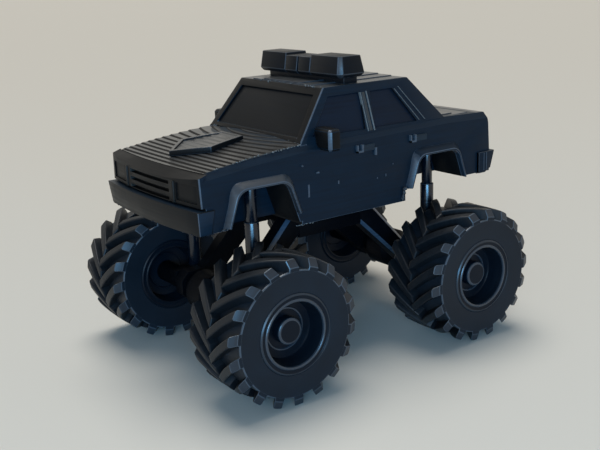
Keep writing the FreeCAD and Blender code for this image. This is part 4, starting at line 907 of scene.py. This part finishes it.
def chance(low, high, shift, kind="FLOAT"):
    """A random value for each crumb, between two bounds, from the tree's seed and a shift."""
    first, result = (2, 1) if kind == "FLOAT" else (0, 0)
    seed = rule.math("ADD", given["Seed"], shift)
    return rule.put("FunctionNodeRandomValue", [(first, low), (first + 1, high), ("Seed", seed)],
                    data_type=kind).outputs[result]


def vectors(operation, *values):
    """A vector worked out from others."""
    return rule.put("ShaderNodeVectorMath", list(enumerate(values)), operation=operation).outputs[0]


def scaled(vector, size):
    """A vector made longer or shorter by a number."""
    return rule.put("ShaderNodeVectorMath", [(0, vector), ("Scale", size)], operation="SCALE").outputs[0]


points = rule.put("GeometryNodeMeshLine", [("Count", given["Count"]), ("Offset", (0, 0, 0))])
way = scaled(vectors("SUBTRACT", given["End"], given["Start"]), chance(0.0, 1.0, 1))
stray = vectors("MULTIPLY", chance((-1, -1, -1), (1, 1, 1), 2, "FLOAT_VECTOR"), given["Spread"])
placed = rule.put("GeometryNodeSetPosition", [
    ("Geometry", points.outputs[0]), ("Position", vectors("ADD", vectors("ADD", given["Start"], way), stray))])
tumbled = scaled(chance((-1, -1, -1), (1, 1, 1), 3, "FLOAT_VECTOR"), given["Tumble"])
spin = rule.put("FunctionNodeEulerToRotation", [(0, tumbled)])
extent = scaled(given["Stretch"], chance(given["Smallest"], given["Largest"], 4))
grain = rule.put("GeometryNodeMeshIcoSphere", [("Radius", 0.5), ("Subdivisions", 1)])
crumbs = rule.put("GeometryNodeInstanceOnPoints", [
    ("Points", placed.outputs[0]), ("Instance", grain.outputs["Mesh"]), ("Rotation", spin.outputs[0]),
    ("Scale", extent)])
close_tree(rule, crumbs.outputs[0], given["Plastic"])
FIRST_SEED = 20
MARKS = [
    # name, plastic, count, start, end, spread, sizes, stretch, tumble
    ("bumper_foot_right", painted_blue_light_plastic, 60, (50.0, -24.6, 44.7), (51.5, 0, 44.7), (0.3, 0.3, 0.08), (0.25, 0.7),
     (1, 1.8, 0.6), 0.3),
    ("bumper_foot_left", painted_blue_light_plastic, 60, (51.5, 0, 44.7), (50.0, 24.6, 44.7), (0.3, 0.3, 0.08), (0.25, 0.7),
     (1, 1.8, 0.6), 0.3),
    ("bumper_end", painted_blue_light_plastic, 12, (46.2, 24.9, 44.8), (50.0, 24.9, 44.8), (0.3, 0.1, 0.1), (0.25, 0.7),
     (1.4, 1, 0.6), 0.3),
    ("hood_shoulder_front", bead_painted_highlight_plastic, 22, (45.0, 23.3, 60.35), (33.0, 23.2, 61.85), (0.3, 0.2, 0.10),
     (0.12, 0.38), (1, 1.6, 0.8), 1.5),
    ("hood_shoulder_rear", bead_painted_highlight_plastic, 34, (33.0, 23.2, 61.85), (17.5, 23.1, 62.95), (0.3, 0.25, 0.10),
     (0.12, 0.42), (1, 1.6, 0.8), 1.5),
    ("hood_shoulder_right", bead_painted_highlight_plastic, 12, (45.0, -23.3, 60.3), (18.0, -23.1, 62.8), (0.3, 0.2, 0.10),
     (0.08, 0.25), (1, 1.6, 0.8), 1.5),
    ("screen_foot", bead_painted_highlight_plastic, 30, (17.3, -21.0, 63.5), (17.3, 21.0, 63.5), (0.5, 0.5, 0.2), (0.08, 0.25),
     (1, 2.2, 0.8), 1.5),
    ("roof_front", bead_painted_highlight_plastic, 44, (7.2, -18.0, 76.75), (7.2, 18.0, 76.75), (0.7, 0.6, 0.12), (0.10, 0.42),
     (1, 2.2, 0.8), 1.5),
    ("sill_front", bead_painted_highlight_plastic, 16, (21.0, 25.0, 41.9), (13.0, 25.0, 41.9), (0.3, 0.1, 0.12), (0.18, 0.50),
     (1.6, 0.8, 0.7), 0.4),
    ("rear_flare_foot", flare_painted_sheen_plastic, 34, (-17.0, 25.8, 46.0), (-16.5, 25.1, 42.4), (0.25, 0.2, 0.3), (0.4, 0.9),
     (1, 0.7, 1.4), 0.5),
    ("front_flare_foot", flare_painted_sheen_plastic, 10, (44.3, 25.9, 45.5), (41.6, 26.2, 45.5), (0.2, 0.2, 0.15), (0.25, 0.6),
     (1.2, 0.8, 1), 0.5),
]
for number, (name, plastic, count, start, end, spread, (smallest, largest), stretch, tumble) in enumerate(MARKS):
    marks = node_piece(crumb_tree, {
        "Count": count, "Start": start, "End": end, "Spread": spread, "Smallest": smallest, "Largest": largest,
        "Stretch": stretch, "Tumble": tumble, "Seed": FIRST_SEED + number, "Plastic": plastic,
    })
    to_metres(marks)
    finish_piece(marks, f"{name}_crumbs", (plastic, painted_highlight_plastic), smooth=60)
